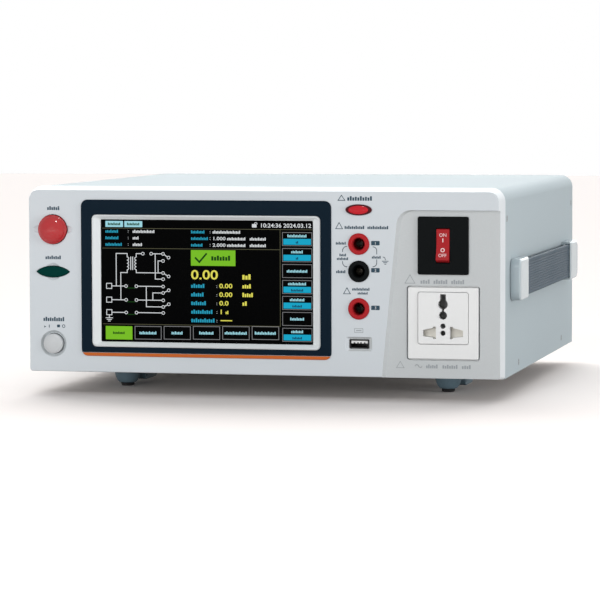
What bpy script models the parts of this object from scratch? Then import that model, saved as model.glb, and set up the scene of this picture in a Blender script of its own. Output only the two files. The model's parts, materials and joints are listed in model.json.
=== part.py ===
"""Bench leakage current tester: a sheet metal case with a moulded front that carries a colour screen, push
buttons, test jacks, a line switch and a mains outlet.

Metres, +Z up, the front looks along -Y. Pieces are placed from the case's own corner: x is 0 at the middle
of the case, y is 0 at the front face and z is 0 at the underside of the moulded front. One empty then
moves the whole instrument so that the origin lies under the middle of its box."""

import math

import bmesh
import bpy
from mathutils import Vector

# Case
CASE_WIDTH = 0.330
CASE_HEIGHT = 0.1275
CASE_DEPTH = 0.325
CORNER_RADIUS = 0.009
SHEET = 0.0012
COVER_STEP = 0.0003
SEAT = 0.0003
OVERLAP = 0.002
CUT_PAST = 0.005
PLASTIC_EDGE = 0.0004

# Moulded front
RIM_DEPTH = 0.0116
RIM_DRAFT = 0.0023
FOOT_DRAFT = 0.0009
FACE_EDGE = 0.0009
BASE_CORNER = 0.0020
WALL = 0.0028
LIP_LENGTH = 0.0064
LIP_WALL = 0.0022

# Recessed field round the line switch and the outlet
FIELD_DEPTH = 0.0026
FIELD_FALL = 0.0147
FIELD_WIDTH_TOP = 0.0705
FIELD_WIDTH_BASE = 0.0815
FIELD_CORNER = 0.0100
FIELD_SLOPE = 0.0022

# Left column of push buttons
BUTTON_INSET = 0.0195
BUTTON_GAP = 0.0004
BUTTON_SKIRT = 0.0070
BUTTON_TRAVEL = 0.0025
HOUSING_WALL = 0.0022
STOP_HEIGHT = 0.0981
STOP_DIAMETER = 0.0199
STOP_RISE = 0.0056
STOP_DIMPLE = (0.0293, 0.0078)
START_DROP = 0.0289
START_SIZE = (0.0232, 0.0075)
LENS_POWER = 1.5
START_RISE = 0.0016
START_DIMPLE = 0.0118
DIMPLE_DEPTH = 0.0014
POWER_HEIGHT = 0.0200
POWER_DIAMETER = 0.0136
POWER_RISE = 0.0030
POWER_DISH = 0.0183
POWER_DISH_DEPTH = 0.0016

# Display
DISPLAY_INSET = 0.0397
DISPLAY_BASE = 0.0120
DISPLAY_FALL = 0.0089
DISPLAY_TO_TERMINALS = 0.0188
DISPLAY_CORNER = 0.0046
DISPLAY_PROUD = 0.0010
STRIPE_HEIGHT = 0.0026
WINDOW_SIDE = 0.00725
WINDOW_ABOVE = 0.00995
WINDOW_BELOW = 0.00615
WINDOW_CORNER = 0.0035
FRAME_SIDE = 0.00575
FRAME_RISE = 0.00355
GLASS_DEPTH = 0.0033
GLASS_CORNER = 0.0008
FRAME_LIP = 0.0010
SKIRT_WALL = 0.0018
PANEL_MARGIN = 0.0040
PANEL_THICKNESS = 0.0060

# Lamp, test jacks and host port
TERMINAL_INSET = 0.0970
LAMP_FALL = 0.0147
LAMP_SIZE = (0.0180, 0.0075)
LAMP_RISE = 0.0022
FLANGE_LAP = 0.0008
JACK_HEIGHTS = {"red_upper": 0.0900, "black": 0.0717, "red_lower": 0.0467}
JACK_COLLAR = 0.0145
JACK_BARREL = 0.0116
JACK_BORE = 0.0079
JACK_LENGTH = 0.0260
JACK_BORE_DEPTH = 0.0180
JACK_RISE = 0.0014
JACK_EDGE = 0.0007
CONTACT_DIAMETER = 0.0052
CONTACT_BORE = 0.0040
CONTACT_SETBACK = 0.0024
CONTACT_FLOOR = 0.0016
CONTACT_EDGE = 0.0003
PORT_HEIGHT = 0.0230
PORT_SIZE = (0.0131, 0.0058)
PORT_SURROUND = (0.0181, 0.0096)
PORT_CORNER = 0.0006
PORT_SETBACK = 0.0012
PORT_LENGTH = 0.0140
PORT_WALL = 0.0005
TONGUE_SIZE = (0.0112, 0.0018)
TONGUE_SETBACK = 0.0008

# Line switch
OUTPUT_INSET = 0.0402
SWITCH_TO_OUTLET = 0.00835
SWITCH_SIZE = (0.0344, 0.0387)
SWITCH_CORNER = 0.0012
SWITCH_PROUD = 0.0015
SWITCH_LENGTH = 0.0300
SWITCH_SHOULDER = 0.0017
ROCKER_WIDTH = 0.0088
ROCKER_RADIUS = 0.01145
ROCKER_PIVOT_DEPTH = 0.0035
ROCKER_FACE = 0.0002
ROCKER_THROW = math.radians(16)
ROCKER_TAIL = 0.0045

# Outlet
OUTLET_HEIGHT = 0.0376
OUTLET_SIZE = (0.0477, 0.0480)
OUTLET_CORNER = 0.0010
OUTLET_GAP = 0.0009
OUTLET_PROUD = 0.0008
OUTLET_LENGTH = 0.0220
OUTLET_FLANGE = 0.0030
OUTLET_FLOOR = 0.0020
INSERT_RAISE = 0.0034
INSERT_SIZE = (0.0338, 0.0346)
INSERT_CORNER = 0.0014
INSERT_PROUD = 0.0008
INSERT_THICKNESS = 0.0044
INSERT_LEDGE = 0.0018
EARTH_RADIUS = 0.0033
NEUTRAL_RADIUS = 0.0028
PIN_HOLE_RADIUS = 0.0018
EARTH_RISE = 0.0093
EARTH_SLOT = (0.0040, 0.0050)
EARTH_SLOT_RISE = 0.0043
NEUTRAL_RISE = 0.0019
NECK_SLOT = (0.0016, 0.0040)
ROUND_PIN_DROPS = (0.0052, 0.0099)
SLOT_NEAR = 0.0047
SLOT_REACH = 0.0089
SLOT_TOP = 0.0056
SLOT_BASE = 0.0137
SLOT_STEP = 0.0008
BLADE_SLOT = 0.0021
SHUTTER_LAP = 0.0010
SHUTTER_TRAVEL = 0.0050
SHUTTER_MARGIN = 0.0030
SHUTTER_THICKNESS = 0.0015

# Side handle
HANDLE_INSET = 0.0200
HANDLE_HEIGHT = 0.0280
HANDLE_LEVEL = 0.0650
CAP_LENGTH = 0.0360
CAP_RISE = 0.0070
CAP_CORNER = 0.0068
CAP_BEVEL = 0.0011
STRAP_WIDTH = 0.0248
STRAP_THICKNESS = 0.0029
STRAP_EDGE = 0.0009
STRAP_TUCK = 0.0120
STRAP_RIBS = 12
RIB_DEPTH = 0.0004

# Feet and tilt legs
FOOT_HEIGHT = 0.0150
FOOT_INSET = 0.0500
FOOT_FRONT = 0.0750
FOOT_REAR_INSET = 0.0500
FOOT_RADIUS = 0.0094
FOOT_FLANGE = 0.0125
FOOT_FLANGE_THICKNESS = 0.0026
FOOT_EDGE = 0.0006
PAD_RADIUS = 0.0047
PAD_THICKNESS = 0.0018
LEG_WIDTH = 0.0200
LEG_LENGTH = 0.0260
LEG_ROOT = 0.0038
LEG_TIP = 0.0022
LEG_PIN = 0.0015
LEG_PIN_GAP = 0.0002
LEG_LUG = 0.0080
LEG_OFFSET = 0.0142
LEG_DROP = 0.0080

# Rear
REAR_INSET = 0.0012
REAR_SHEET = 0.0015
FAN_INSET = 0.0650
FAN_HEIGHT = 0.0640
FAN_SIZE = 0.0600
FAN_DEPTH = 0.0250
FAN_BORE = 0.0570
FAN_HUB = 0.0260
FAN_MOTOR = 0.0035
FAN_STRUT = 0.0024
FAN_SETBACK = 0.0030
FAN_CORNER = 0.0030
HUB_EDGE = 0.0008
BLADE_INSET = 0.0020
FAN_BLADES = 7
BLADE_TIP_GAP = 0.0012
BLADE_THICKNESS = 0.0012
GUARD_WIRE = 0.0016
GUARD_RINGS = (0.0090, 0.0150, 0.0210, 0.0270)
GUARD_REACH = 0.0362
INLET_INSET = 0.0500
SUPPLY_HEIGHT = 0.0850
LINE_HEIGHT = 0.0400
INLET_FLANGE = (0.0500, 0.0240)
SUPPLY_FLANGE_HEIGHT = 0.0370
INLET_FLANGE_THICKNESS = 0.0025
INLET_CAVITY = (0.0245, 0.0165)
INLET_DEPTH = 0.0165
INLET_LENGTH = 0.0240
INLET_WALL = 0.0022
PIN_SIZE = (0.0020, 0.0040)
PIN_PITCH = 0.0070
PIN_RISE = 0.0020
PIN_LENGTH = 0.0140
DRAWER_SIZE = (0.0220, 0.0080)
DRAWER_LENGTH = 0.0200
DRAWER_DROP = 0.0135
DRAWER_LIP = 0.0020
DRAWER_WALL = 0.0018
DRAWER_FACE = 0.0040
DRAWER_GRIP = 0.0030
INLET_EDGE = 0.0006
INLET_CORNER = 0.0040
CAVITY_CORNER = 0.0030
CUTOUT_CORNER = 0.0010
PORTS_TO_INLET = 0.0900
CONNECTOR_FLANGE = 0.0010
SERIAL_HEIGHT = 0.0900
SERIAL_FLANGE = (0.0308, 0.0124)
SERIAL_SHELL = (0.0178, 0.0082)
SERIAL_SLANT = 0.0011
SERIAL_REACH = 0.0055
SERIAL_TAIL = 0.0080
SERIAL_SCREWS = 0.0250
SERIAL_NUT = 0.0052
SERIAL_NUT_REACH = 0.0050
DEVICE_HEIGHT = 0.0560
DEVICE_MOUTH = (0.0084, 0.0078)
DEVICE_BODY = (0.0110, 0.0100)
DEVICE_COLLAR = (0.0130, 0.0124)
DEVICE_CORNER = 0.0008
DEVICE_LENGTH = 0.0120
DEVICE_FLOOR = 0.0030
DEVICE_CORE = (0.0056, 0.0032)
POST_TO_INLET = 0.0500
POST_HEIGHT = 0.0280
POST_STUD = 0.0060
POST_NUT = 0.0110
POST_NUT_THICKNESS = 0.0020
POST_KNOB = 0.0096
POST_GROOVE = 0.0025
POST_EDGE = 0.0008
POST_LENGTH = 0.0130

# Inside
BOARD_INSET = 0.0400
BOARD_TO_TRANSFORMER = 0.0430
BOARD_FRONT = 0.1000
BOARD_REAR_INSET = 0.0950
BOARD_THICKNESS = 0.0016
BOSS_HEIGHT = 0.0060
BOSS_RADIUS = 0.0035
BOSS_INSET = 0.0080
TRANSFORMER_SIZE = (0.0640, 0.0540, 0.0560)
TRANSFORMER_INSET = 0.0650
TRANSFORMER_REAR_INSET = 0.1250
COIL_BULGE = 0.0080

# Inlet vents in the left side of the cover
VENT_COUNT = 12
VENT_PITCH = 0.0090
VENT_SIZE = (0.0034, 0.0420)
VENT_REAR_INSET = 0.0950
VENT_HEIGHT = 0.0640
PAN_SIDE = 0.0120
PAN_GAP = 0.0002

# Colours
LIGHT_GREY = (0.62, 0.64, 0.66, 1)
COVER_GREY = (0.66, 0.69, 0.70, 1)
NAVY = (0.006, 0.014, 0.026, 1)
ORANGE = (0.55, 0.12, 0.025, 1)
RED = (0.50, 0.012, 0.02, 1)
GREEN = (0.0, 0.055, 0.045, 1)
BLACK = (0.012, 0.012, 0.013, 1)
WHITE = (0.78, 0.79, 0.78, 1)
CREAM = (0.70, 0.66, 0.55, 1)
STRAP_BLUE = (0.07, 0.10, 0.13, 1)
SLATE = (0.10, 0.15, 0.19, 1)
STEEL = (0.55, 0.55, 0.56, 1)
ZINC = (0.62, 0.62, 0.60, 1)
BOARD_GREEN = (0.01, 0.10, 0.04, 1)

# Places that follow from the sizes above
HALF = CASE_WIDTH / 2
BUTTON_X = -HALF + BUTTON_INSET
START_HEIGHT = STOP_HEIGHT - START_DROP
TERMINAL_X = HALF - TERMINAL_INSET
OUTPUT_X = HALF - OUTPUT_INSET
DISPLAY_LEFT = -HALF + DISPLAY_INSET
DISPLAY_RIGHT = TERMINAL_X - DISPLAY_TO_TERMINALS
DISPLAY_TOP = CASE_HEIGHT - DISPLAY_FALL
DISPLAY_X = (DISPLAY_LEFT + DISPLAY_RIGHT) / 2
WINDOW_BASE = DISPLAY_BASE + WINDOW_BELOW
WINDOW_SIZE = (DISPLAY_RIGHT - DISPLAY_LEFT - 2 * WINDOW_SIDE, DISPLAY_TOP - WINDOW_ABOVE - WINDOW_BASE)
SCREEN_HEIGHT = WINDOW_BASE + WINDOW_SIZE[1] / 2
GLASS_SIZE = (WINDOW_SIZE[0] - 2 * FRAME_SIDE, WINDOW_SIZE[1] - 2 * FRAME_RISE)
FIELD_TOP = CASE_HEIGHT - FIELD_FALL
LAMP_HEIGHT = CASE_HEIGHT - LAMP_FALL
SWITCH_HEIGHT = OUTLET_HEIGHT + OUTLET_SIZE[1] / 2 + SWITCH_TO_OUTLET + SWITCH_SIZE[1] / 2
INSERT_Z = OUTLET_HEIGHT + INSERT_RAISE
SKIN = HALF - COVER_STEP
SKIN_TOP = CASE_HEIGHT - COVER_STEP
INSIDE = SKIN - SHEET - SEAT
FLOOR = COVER_STEP
FLOOR_TOP = FLOOR + SHEET
WALL_BACK = WALL + SEAT
FIELD_BACK = FIELD_DEPTH + WALL
REAR_FACE = CASE_DEPTH - REAR_INSET
REAR_BACK = REAR_FACE - REAR_SHEET
REAR_SEAT = REAR_FACE + SEAT
COVER_FRONT = RIM_DEPTH + SEAT
HANDLE_Y = (COVER_FRONT + CASE_DEPTH) / 2
HANDLE_LENGTH = CASE_DEPTH - COVER_FRONT - 2 * HANDLE_INSET
FOOT_SPREAD = HALF - FOOT_INSET
FOOT_REAR = CASE_DEPTH - FOOT_REAR_INSET
FAN_PLACE = (-HALF + FAN_INSET, FAN_HEIGHT)
INLET_X = HALF - INLET_INSET
PORTS_X = INLET_X - PORTS_TO_INLET
POST_X = INLET_X - POST_TO_INLET
TRANSFORMER_CENTRE = (-HALF + TRANSFORMER_INSET, CASE_DEPTH - TRANSFORMER_REAR_INSET)
BOARD_LEFT = TRANSFORMER_CENTRE[0] + TRANSFORMER_SIZE[0] / 2 + BOARD_TO_TRANSFORMER
BOARD_RIGHT = HALF - BOARD_INSET
BOARD_BACK = CASE_DEPTH - BOARD_REAR_INSET
VENT_CENTRE = (CASE_DEPTH - VENT_REAR_INSET, VENT_HEIGHT)
CAP_BASE = SKIN + SEAT
CAP_TOP = CAP_BASE + CAP_RISE
LEFT_MOST = -HALF
RIGHT_MOST = CAP_TOP
FRONT_MOST = -STOP_RISE
REAR_MOST = REAR_SEAT + POST_LENGTH
CENTRE_X = (LEFT_MOST + RIGHT_MOST) / 2
CENTRE_Y = (FRONT_MOST + REAR_MOST) / 2


def clear_scene():
    for old in list(bpy.data.objects):
        bpy.data.objects.remove(old, do_unlink=True)


def material(name, colour, roughness, metallic=0.0):
    made = bpy.data.materials.get(name) or bpy.data.materials.new(name)
    made.use_nodes = True
    shader = made.node_tree.nodes["Principled BSDF"]
    shader.inputs["Base Color"].default_value = colour
    shader.inputs["Roughness"].default_value = roughness
    shader.inputs["Metallic"].default_value = metallic
    return made


def arc(centre, radius, start, end, steps):
    """Points on an arc, both ends included; angles in degrees, counter-clockwise."""
    turn = [math.radians(start + (end - start) * i / steps) for i in range(steps + 1)]
    return [(centre[0] + radius * math.cos(t), centre[1] + radius * math.sin(t)) for t in turn]


def outline(left, right, base, top, top_radius, base_radius, steps=5):
    """A rectangle with rounded corners, counter-clockwise from its right side."""
    corners = (
        ((right - base_radius, base + base_radius), base_radius, -90, 0),
        ((right - top_radius, top - top_radius), top_radius, 0, 90),
        ((left + top_radius, top - top_radius), top_radius, 90, 180),
        ((left + base_radius, base + base_radius), base_radius, 180, 270),
    )
    points = []
    for centre, radius, start, end in corners:
        points += arc(centre, radius, start, end, steps)
    return points


def rounded(size, radius, centre=(0, 0), steps=5):
    return outline(
        centre[0] - size[0] / 2, centre[0] + size[0] / 2,
        centre[1] - size[1] / 2, centre[1] + size[1] / 2,
        radius, radius, steps,
    )


def oval(size, centre=(0, 0), count=32):
    turn = [2 * math.pi * i / count for i in range(count)]
    return [(centre[0] + size[0] / 2 * math.cos(t), centre[1] + size[1] / 2 * math.sin(t)) for t in turn]


def lens(size, count=32):
    """An eye shape: an oval whose ends are drawn out to points."""
    points = []
    for across, up in oval(size, count=count):
        height = abs(2 * up / size[1])
        points.append((across, math.copysign(size[1] / 2 * height ** LENS_POWER, up)))
    return points


def grown(size, by):
    return (size[0] + 2 * by, size[1] + 2 * by)


def on_axis(points, axis, at):
    """A flat outline set across an axis, at a place along it."""
    if axis == "X":
        return [Vector((at, a, b)) for a, b in points]
    if axis == "Y":
        return [Vector((a, at, b)) for a, b in points]
    return [Vector((a, b, at)) for a, b in points]


def loft(name, rings, axis="Y"):
    """A closed body through outlines of one count, given as (place along the axis, points)."""
    body = bmesh.new()
    loops = [[body.verts.new(p) for p in on_axis(points, axis, at)] for at, points in rings]
    for lower, upper in zip(loops, loops[1:]):
        for i in range(len(lower)):
            j = (i + 1) % len(lower)
            body.faces.new((lower[i], lower[j], upper[j], upper[i]))
    body.faces.new(loops[0])
    body.faces.new(loops[-1])
    bmesh.ops.recalc_face_normals(body, faces=body.faces)
    mesh = bpy.data.meshes.new(name)
    body.to_mesh(mesh)
    body.free()
    return mesh


def turned(name, profile, axis="Y", count=32):
    """A body of revolution: (place along the axis, radius) from one closing disc to the other."""
    return loft(name, [(at, oval((2 * r, 2 * r), count=count)) for at, r in profile], axis)


def block(name, low, high):
    corners = [(low[0], low[2]), (high[0], low[2]), (high[0], high[2]), (low[0], high[2])]
    return loft(name, [(low[1], corners), (high[1], corners)])


def put(name, mesh, finish, location=(0, 0, 0), smooth=True):
    made = bpy.data.objects.new(name, mesh)
    bpy.context.scene.collection.objects.link(made)
    made.parent = INSTRUMENT
    made.location = location
    if finish is not None:
        mesh.materials.append(finish)
    if smooth:
        mesh.shade_smooth()
        mesh.set_sharp_from_angle(angle=math.radians(35))
    return made


def tool(name, mesh, location=(0, 0, 0)):
    """A body that only cuts or joins: it is no part of the instrument by itself."""
    made = put(name, mesh, None, location, smooth=False)
    made.hide_render = True
    made.display_type = "WIRE"
    return made


def combine(target, operation, tools):
    for other in tools:
        change = target.modifiers.new(other.name, "BOOLEAN")
        change.operation = operation
        change.solver = "EXACT"
        change.object = other


def cut(target, *tools):
    combine(target, "DIFFERENCE", tools)


def join(target, *tools):
    combine(target, "UNION", tools)


def front_outline(inset, base_inset):
    return outline(
        -HALF + inset, HALF - inset, base_inset, CASE_HEIGHT - inset, CORNER_RADIUS - inset, BASE_CORNER
    )


def field_outline(shift, drop):
    """The recessed field: its left side leans, and it runs out past the right side and the base."""
    lean = (FIELD_WIDTH_BASE - FIELD_WIDTH_TOP) / FIELD_TOP
    top = FIELD_TOP - drop
    past = CUT_PAST

    def left(z):
        return HALF - FIELD_WIDTH_BASE + lean * z + shift

    corner_z = top - FIELD_CORNER
    corner = (left(corner_z) + FIELD_CORNER * math.hypot(1, lean), corner_z)
    turn = arc(corner, FIELD_CORNER, 90, 180 - math.degrees(math.atan(lean)), 8)
    return [(HALF + past, -past), (HALF + past, top)] + turn + [(left(-past), -past)]


def through(name, points, place):
    """A straight cutter through the moulded wall at (x, z)."""
    return tool(name, loft(name, [(-CUT_PAST, points), (FIELD_BACK + CUT_PAST, points)]), (place[0], 0, place[1]))


def dished(name, rings, place):
    """A shallow dish cut from the front: (depth, outline) from the face to its floor."""
    above = [(-CUT_PAST, rings[0][1])]
    return tool(name, loft(name, above + rings), (place[0], 0, place[1]))


def bowl(size, depth):
    """Rings of an oval finger dimple with a rounded floor."""
    steps = [math.radians(a) for a in (0, 25, 50, 75)]
    return [(depth * math.sin(t), oval((size[0] * math.cos(t), size[1] * math.cos(t)))) for t in steps]


def front_bezel(finish):
    lip = COVER_STEP + SHEET + SEAT
    inner = lip + LIP_WALL
    rings = []
    for t in (0, 45, 90):
        t = math.radians(t)
        edge = FACE_EDGE * (1 - math.sin(t))
        rings.append((FACE_EDGE * (1 - math.cos(t)), front_outline(RIM_DRAFT + edge, FOOT_DRAFT + edge)))
    rings += [
        (RIM_DEPTH, front_outline(0, 0)),
        (RIM_DEPTH, front_outline(lip, lip)),
        (RIM_DEPTH + LIP_LENGTH, front_outline(lip, lip)),
        (RIM_DEPTH + LIP_LENGTH, front_outline(inner, inner)),
        (WALL, front_outline(inner, inner)),
    ]
    bezel = put("front_bezel", loft("front_bezel", rings), finish)
    left = HALF - FIELD_WIDTH_BASE - WALL
    past = OVERLAP / 2
    low = (left, WALL - past, inner - past)
    high = (HALF - inner + past, FIELD_BACK, FIELD_TOP + WALL)
    join(bezel, tool("field_back", block("field_back", low, high)))
    field = loft("field_cut", [
        (-CUT_PAST, field_outline(0, 0)),
        (0, field_outline(0, 0)),
        (FIELD_DEPTH, field_outline(FIELD_SLOPE, PLASTIC_EDGE)),
    ])
    cut(bezel, tool("field_cut", field))
    window = rounded(grown(WINDOW_SIZE, SKIRT_WALL + SEAT), WINDOW_CORNER + SKIRT_WALL)
    cut(bezel, through("display_hole", window, (DISPLAY_X, SCREEN_HEIGHT)))
    button_holes = (
        ("stop", STOP_HEIGHT, (STOP_DIAMETER, STOP_DIAMETER), oval, bowl(STOP_DIMPLE, DIMPLE_DEPTH)),
        ("start", START_HEIGHT, START_SIZE, lens, bowl((START_DIMPLE, START_DIMPLE), DIMPLE_DEPTH)),
        ("power", POWER_HEIGHT, (POWER_DIAMETER, POWER_DIAMETER), oval, [
            (0, oval((POWER_DISH, POWER_DISH))),
            (POWER_DISH_DEPTH, oval(grown((POWER_DIAMETER, POWER_DIAMETER), 2 * BUTTON_GAP))),
        ]),
    )
    for name, height, size, shape, rings in button_holes:
        cut(bezel, dished(name + "_dish", rings, (BUTTON_X, height)))
        cut(bezel, through(name + "_hole", shape(grown(size, BUTTON_GAP)), (BUTTON_X, height)))
    cut(bezel, through("lamp_hole", oval(grown(LAMP_SIZE, -FLANGE_LAP)), (TERMINAL_X, LAMP_HEIGHT)))
    for name, height in JACK_HEIGHTS.items():
        hole = oval(grown((JACK_BARREL, JACK_BARREL), SEAT), count=30)
        cut(bezel, through("jack_hole_" + name, hole, (TERMINAL_X, height)))
    port = rounded(grown(PORT_SIZE, SEAT), PORT_CORNER, steps=2)
    cut(bezel, dished("port_dish", [
        (0, rounded(PORT_SURROUND, 2 * PORT_CORNER, steps=2)),
        (PORT_SETBACK + SEAT, rounded(grown(PORT_SIZE, 2 * SEAT), PORT_CORNER, steps=2)),
    ], (TERMINAL_X, PORT_HEIGHT)))
    cut(bezel, through("port_hole", port, (TERMINAL_X, PORT_HEIGHT)))
    switch = rounded(grown(SWITCH_SIZE, -SWITCH_SHOULDER), SWITCH_CORNER, steps=2)
    cut(bezel, through("switch_hole", switch, (OUTPUT_X, SWITCH_HEIGHT)))
    outlet = rounded(grown(OUTLET_SIZE, OUTLET_GAP), OUTLET_CORNER + OUTLET_GAP, steps=3)
    cut(bezel, through("outlet_hole", outlet, (OUTPUT_X, OUTLET_HEIGHT)))
    return bezel


def display(navy, orange, grey, glass):
    """The dark surround, its coloured foot, the bevelled screen frame and the panel behind."""
    split = DISPLAY_BASE + STRIPE_HEIGHT
    edge = PLASTIC_EDGE

    def plate(inset):
        return outline(DISPLAY_LEFT + inset, DISPLAY_RIGHT - inset, DISPLAY_BASE + inset, DISPLAY_TOP - inset,
                       DISPLAY_CORNER - inset, DISPLAY_CORNER - inset, 6)

    solid = [(-DISPLAY_PROUD, plate(edge)), (-DISPLAY_PROUD + edge, plate(0)), (-SEAT, plate(0))]
    surround = put("display_surround", loft("display_surround", solid), navy)
    stripe = put("accent_stripe", loft("accent_stripe", solid), orange)
    past = CUT_PAST
    low = DISPLAY_LEFT - past
    high = DISPLAY_RIGHT + past
    below = block("below_split", (low, -past, DISPLAY_BASE - past), (high, past, split))
    above = block("above_split", (low, -past, split - SEAT), (high, past, DISPLAY_TOP + past))
    cut(stripe, tool("above_split", above))
    cut(surround, tool("below_split", below))
    centre = (DISPLAY_X, SCREEN_HEIGHT)
    skirt_size = grown(WINDOW_SIZE, SKIRT_WALL)
    skirt = rounded(skirt_size, WINDOW_CORNER + SKIRT_WALL, centre)
    skirt_mesh = loft("skirt", [(-DISPLAY_PROUD + edge, skirt), (WALL, skirt)])
    join(surround, tool("skirt", skirt_mesh))
    opening = rounded(WINDOW_SIZE, WINDOW_CORNER, centre)
    cut(surround, tool("window_cut", loft("window_cut", [(-past, opening), (WALL + past, opening)])))
    frame_size = grown(WINDOW_SIZE, -SEAT)
    front = -DISPLAY_PROUD + SEAT
    frame_back = GLASS_DEPTH
    ring = [
        (frame_back, rounded(GLASS_SIZE, GLASS_CORNER, centre)),
        (GLASS_DEPTH - FRAME_LIP, rounded(GLASS_SIZE, GLASS_CORNER, centre)),
        (front + edge, rounded(grown(frame_size, -3 * edge), WINDOW_CORNER - 2.5 * edge, centre)),
        (front, rounded(grown(frame_size, -2 * edge), WINDOW_CORNER - 1.5 * edge, centre)),
        (front + edge, rounded(frame_size, WINDOW_CORNER - SEAT, centre)),
        (frame_back, rounded(frame_size, WINDOW_CORNER - SEAT, centre)),
    ]
    put("screen_frame", closed_ring("screen_frame", ring), grey)
    panel_size = grown(skirt_size, PANEL_MARGIN)
    panel_front = GLASS_DEPTH + SEAT
    panel = [(panel_front, rounded(panel_size, GLASS_CORNER, centre, 2)),
             (panel_front + PANEL_THICKNESS, rounded(panel_size, GLASS_CORNER, centre, 2))]
    put("screen_panel", loft("screen_panel", panel), glass)


def closed_ring(name, rings, axis="Y"):
    """As loft, but the last outline joins the first, so the body is a frame with an open middle."""
    body = bmesh.new()
    loops = [[body.verts.new(p) for p in on_axis(points, axis, at)] for at, points in rings]
    for lower, upper in zip(loops, loops[1:] + loops[:1]):
        for i in range(len(lower)):
            j = (i + 1) % len(lower)
            body.faces.new((lower[i], lower[j], upper[j], upper[i]))
    bmesh.ops.recalc_face_normals(body, faces=body.faces)
    mesh = bpy.data.meshes.new(name)
    body.to_mesh(mesh)
    body.free()
    return mesh


def push_button(name, height, size, shape, crown, finish, shell):
    """A cap on its skirt, in a hole of the front, with the switch housing that holds it behind the wall."""
    rings = [(-rise, shape((size[0] * share[0], size[1] * share[1]))) for rise, share in crown]
    rings.append((BUTTON_SKIRT, shape(size)))
    put(name + "_button", loft(name + "_button", rings), finish, (BUTTON_X, 0, height))
    bore = grown(size, 2 * BUTTON_GAP)
    body = grown(bore, HOUSING_WALL)
    floor = BUTTON_SKIRT + BUTTON_TRAVEL + 2 * SEAT
    housing = [
        (floor, shape(bore)),
        (WALL_BACK, shape(bore)),
        (WALL_BACK, oval(body)),
        (floor + HOUSING_WALL, oval(body)),
    ]
    put(name + "_switch", loft(name + "_switch", housing), shell, (BUTTON_X, 0, height))


def buttons(red, green, white, black):
    size = (STOP_DIAMETER, STOP_DIAMETER)
    rim = 0.93
    crown = []
    for a in (8, 22, 36, 50, 64, 78, 88):
        t = math.radians(a)
        share = 0.40 + 0.60 * math.cos(t) / math.cos(math.radians(8))
        crown.append((STOP_RISE * share, (rim * math.sin(t), rim * math.sin(t))))
    crown += [(STOP_RISE * 0.42, (0.965, 0.965)), (STOP_RISE * 0.36, (1, 1))]
    push_button("stop", STOP_HEIGHT, size, oval, crown, red, black)
    crown = []
    for a in (20, 40, 60, 76, 90):
        t = math.radians(a)
        crown.append((START_RISE * (0.45 + 0.55 * math.cos(t)), (math.sin(t), math.sin(t))))
    push_button("start", START_HEIGHT, START_SIZE, lens, crown, green, black)
    crown = []
    for a in (10, 30, 50, 70, 90):
        t = math.radians(a)
        crown.append((POWER_RISE * (0.45 + 0.55 * math.cos(t)), (math.sin(t), math.sin(t))))
    push_button("power", POWER_HEIGHT, (POWER_DIAMETER, POWER_DIAMETER), oval, crown, white, black)


def danger_lamp(finish):
    stem = grown(LAMP_SIZE, -FLANGE_LAP - SEAT)
    rings = []
    for a in (12, 32, 52, 70, 84):
        t = math.radians(a)
        share = 0.95 * math.sin(t)
        rise = SEAT + FLANGE_LAP + (LAMP_RISE - SEAT - FLANGE_LAP) * math.cos(t)
        rings.append((-rise, oval((LAMP_SIZE[0] * share, LAMP_SIZE[1] * share))))
    rings += [
        (-FLANGE_LAP, oval(LAMP_SIZE)),
        (-SEAT, oval(LAMP_SIZE)),
        (-SEAT, oval(stem)),
        (WALL + BUTTON_SKIRT, oval(stem)),
    ]
    put("danger_lamp", loft("danger_lamp", rings), finish, (TERMINAL_X, 0, LAMP_HEIGHT))


def test_jacks(red, black, metal):
    for name, height in JACK_HEIGHTS.items():
        place = (TERMINAL_X, 0, height)
        profile = [
            (JACK_BORE_DEPTH, JACK_BORE / 2),
            (-JACK_RISE + JACK_EDGE, JACK_BORE / 2),
            (-JACK_RISE, JACK_BORE / 2 + JACK_EDGE),
            (-JACK_RISE, JACK_COLLAR / 2 - JACK_EDGE),
            (-JACK_RISE + JACK_EDGE, JACK_COLLAR / 2),
            (-SEAT, JACK_COLLAR / 2),
            (-SEAT, JACK_BARREL / 2),
            (JACK_LENGTH, JACK_BARREL / 2),
        ]
        shell = black if name == "black" else red
        put("jack_" + name, turned("jack_" + name, profile, count=28), shell, place)
        contact = [
            (JACK_BORE_DEPTH - CONTACT_FLOOR, CONTACT_BORE / 2),
            (CONTACT_SETBACK + CONTACT_EDGE, CONTACT_BORE / 2),
            (CONTACT_SETBACK, CONTACT_BORE / 2 + CONTACT_EDGE),
            (CONTACT_SETBACK + CONTACT_EDGE, CONTACT_DIAMETER / 2),
            (JACK_BORE_DEPTH - SEAT, CONTACT_DIAMETER / 2),
        ]
        put("contact_" + name, turned("contact_" + name, contact, count=20), metal, place)


def host_port(metal, black):
    place = (TERMINAL_X, 0, PORT_HEIGHT)
    outer = rounded(PORT_SIZE, PORT_CORNER, steps=2)
    inner = rounded(grown(PORT_SIZE, -PORT_WALL), PORT_CORNER / 2, steps=2)
    back = PORT_SETBACK + PORT_LENGTH
    shell = [(back - PORT_WALL, inner), (PORT_SETBACK, inner), (PORT_SETBACK, outer), (back, outer)]
    put("port_shell", loft("port_shell", shell), metal, place)
    top = PORT_SIZE[1] / 2 - PORT_WALL - SEAT
    half = TONGUE_SIZE[0] / 2
    tongue = block("port_tongue", (-half, PORT_SETBACK + TONGUE_SETBACK, top - TONGUE_SIZE[1]),
                   (half, back - PORT_WALL - SEAT, top))
    put("port_tongue", tongue, black, place)


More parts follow.
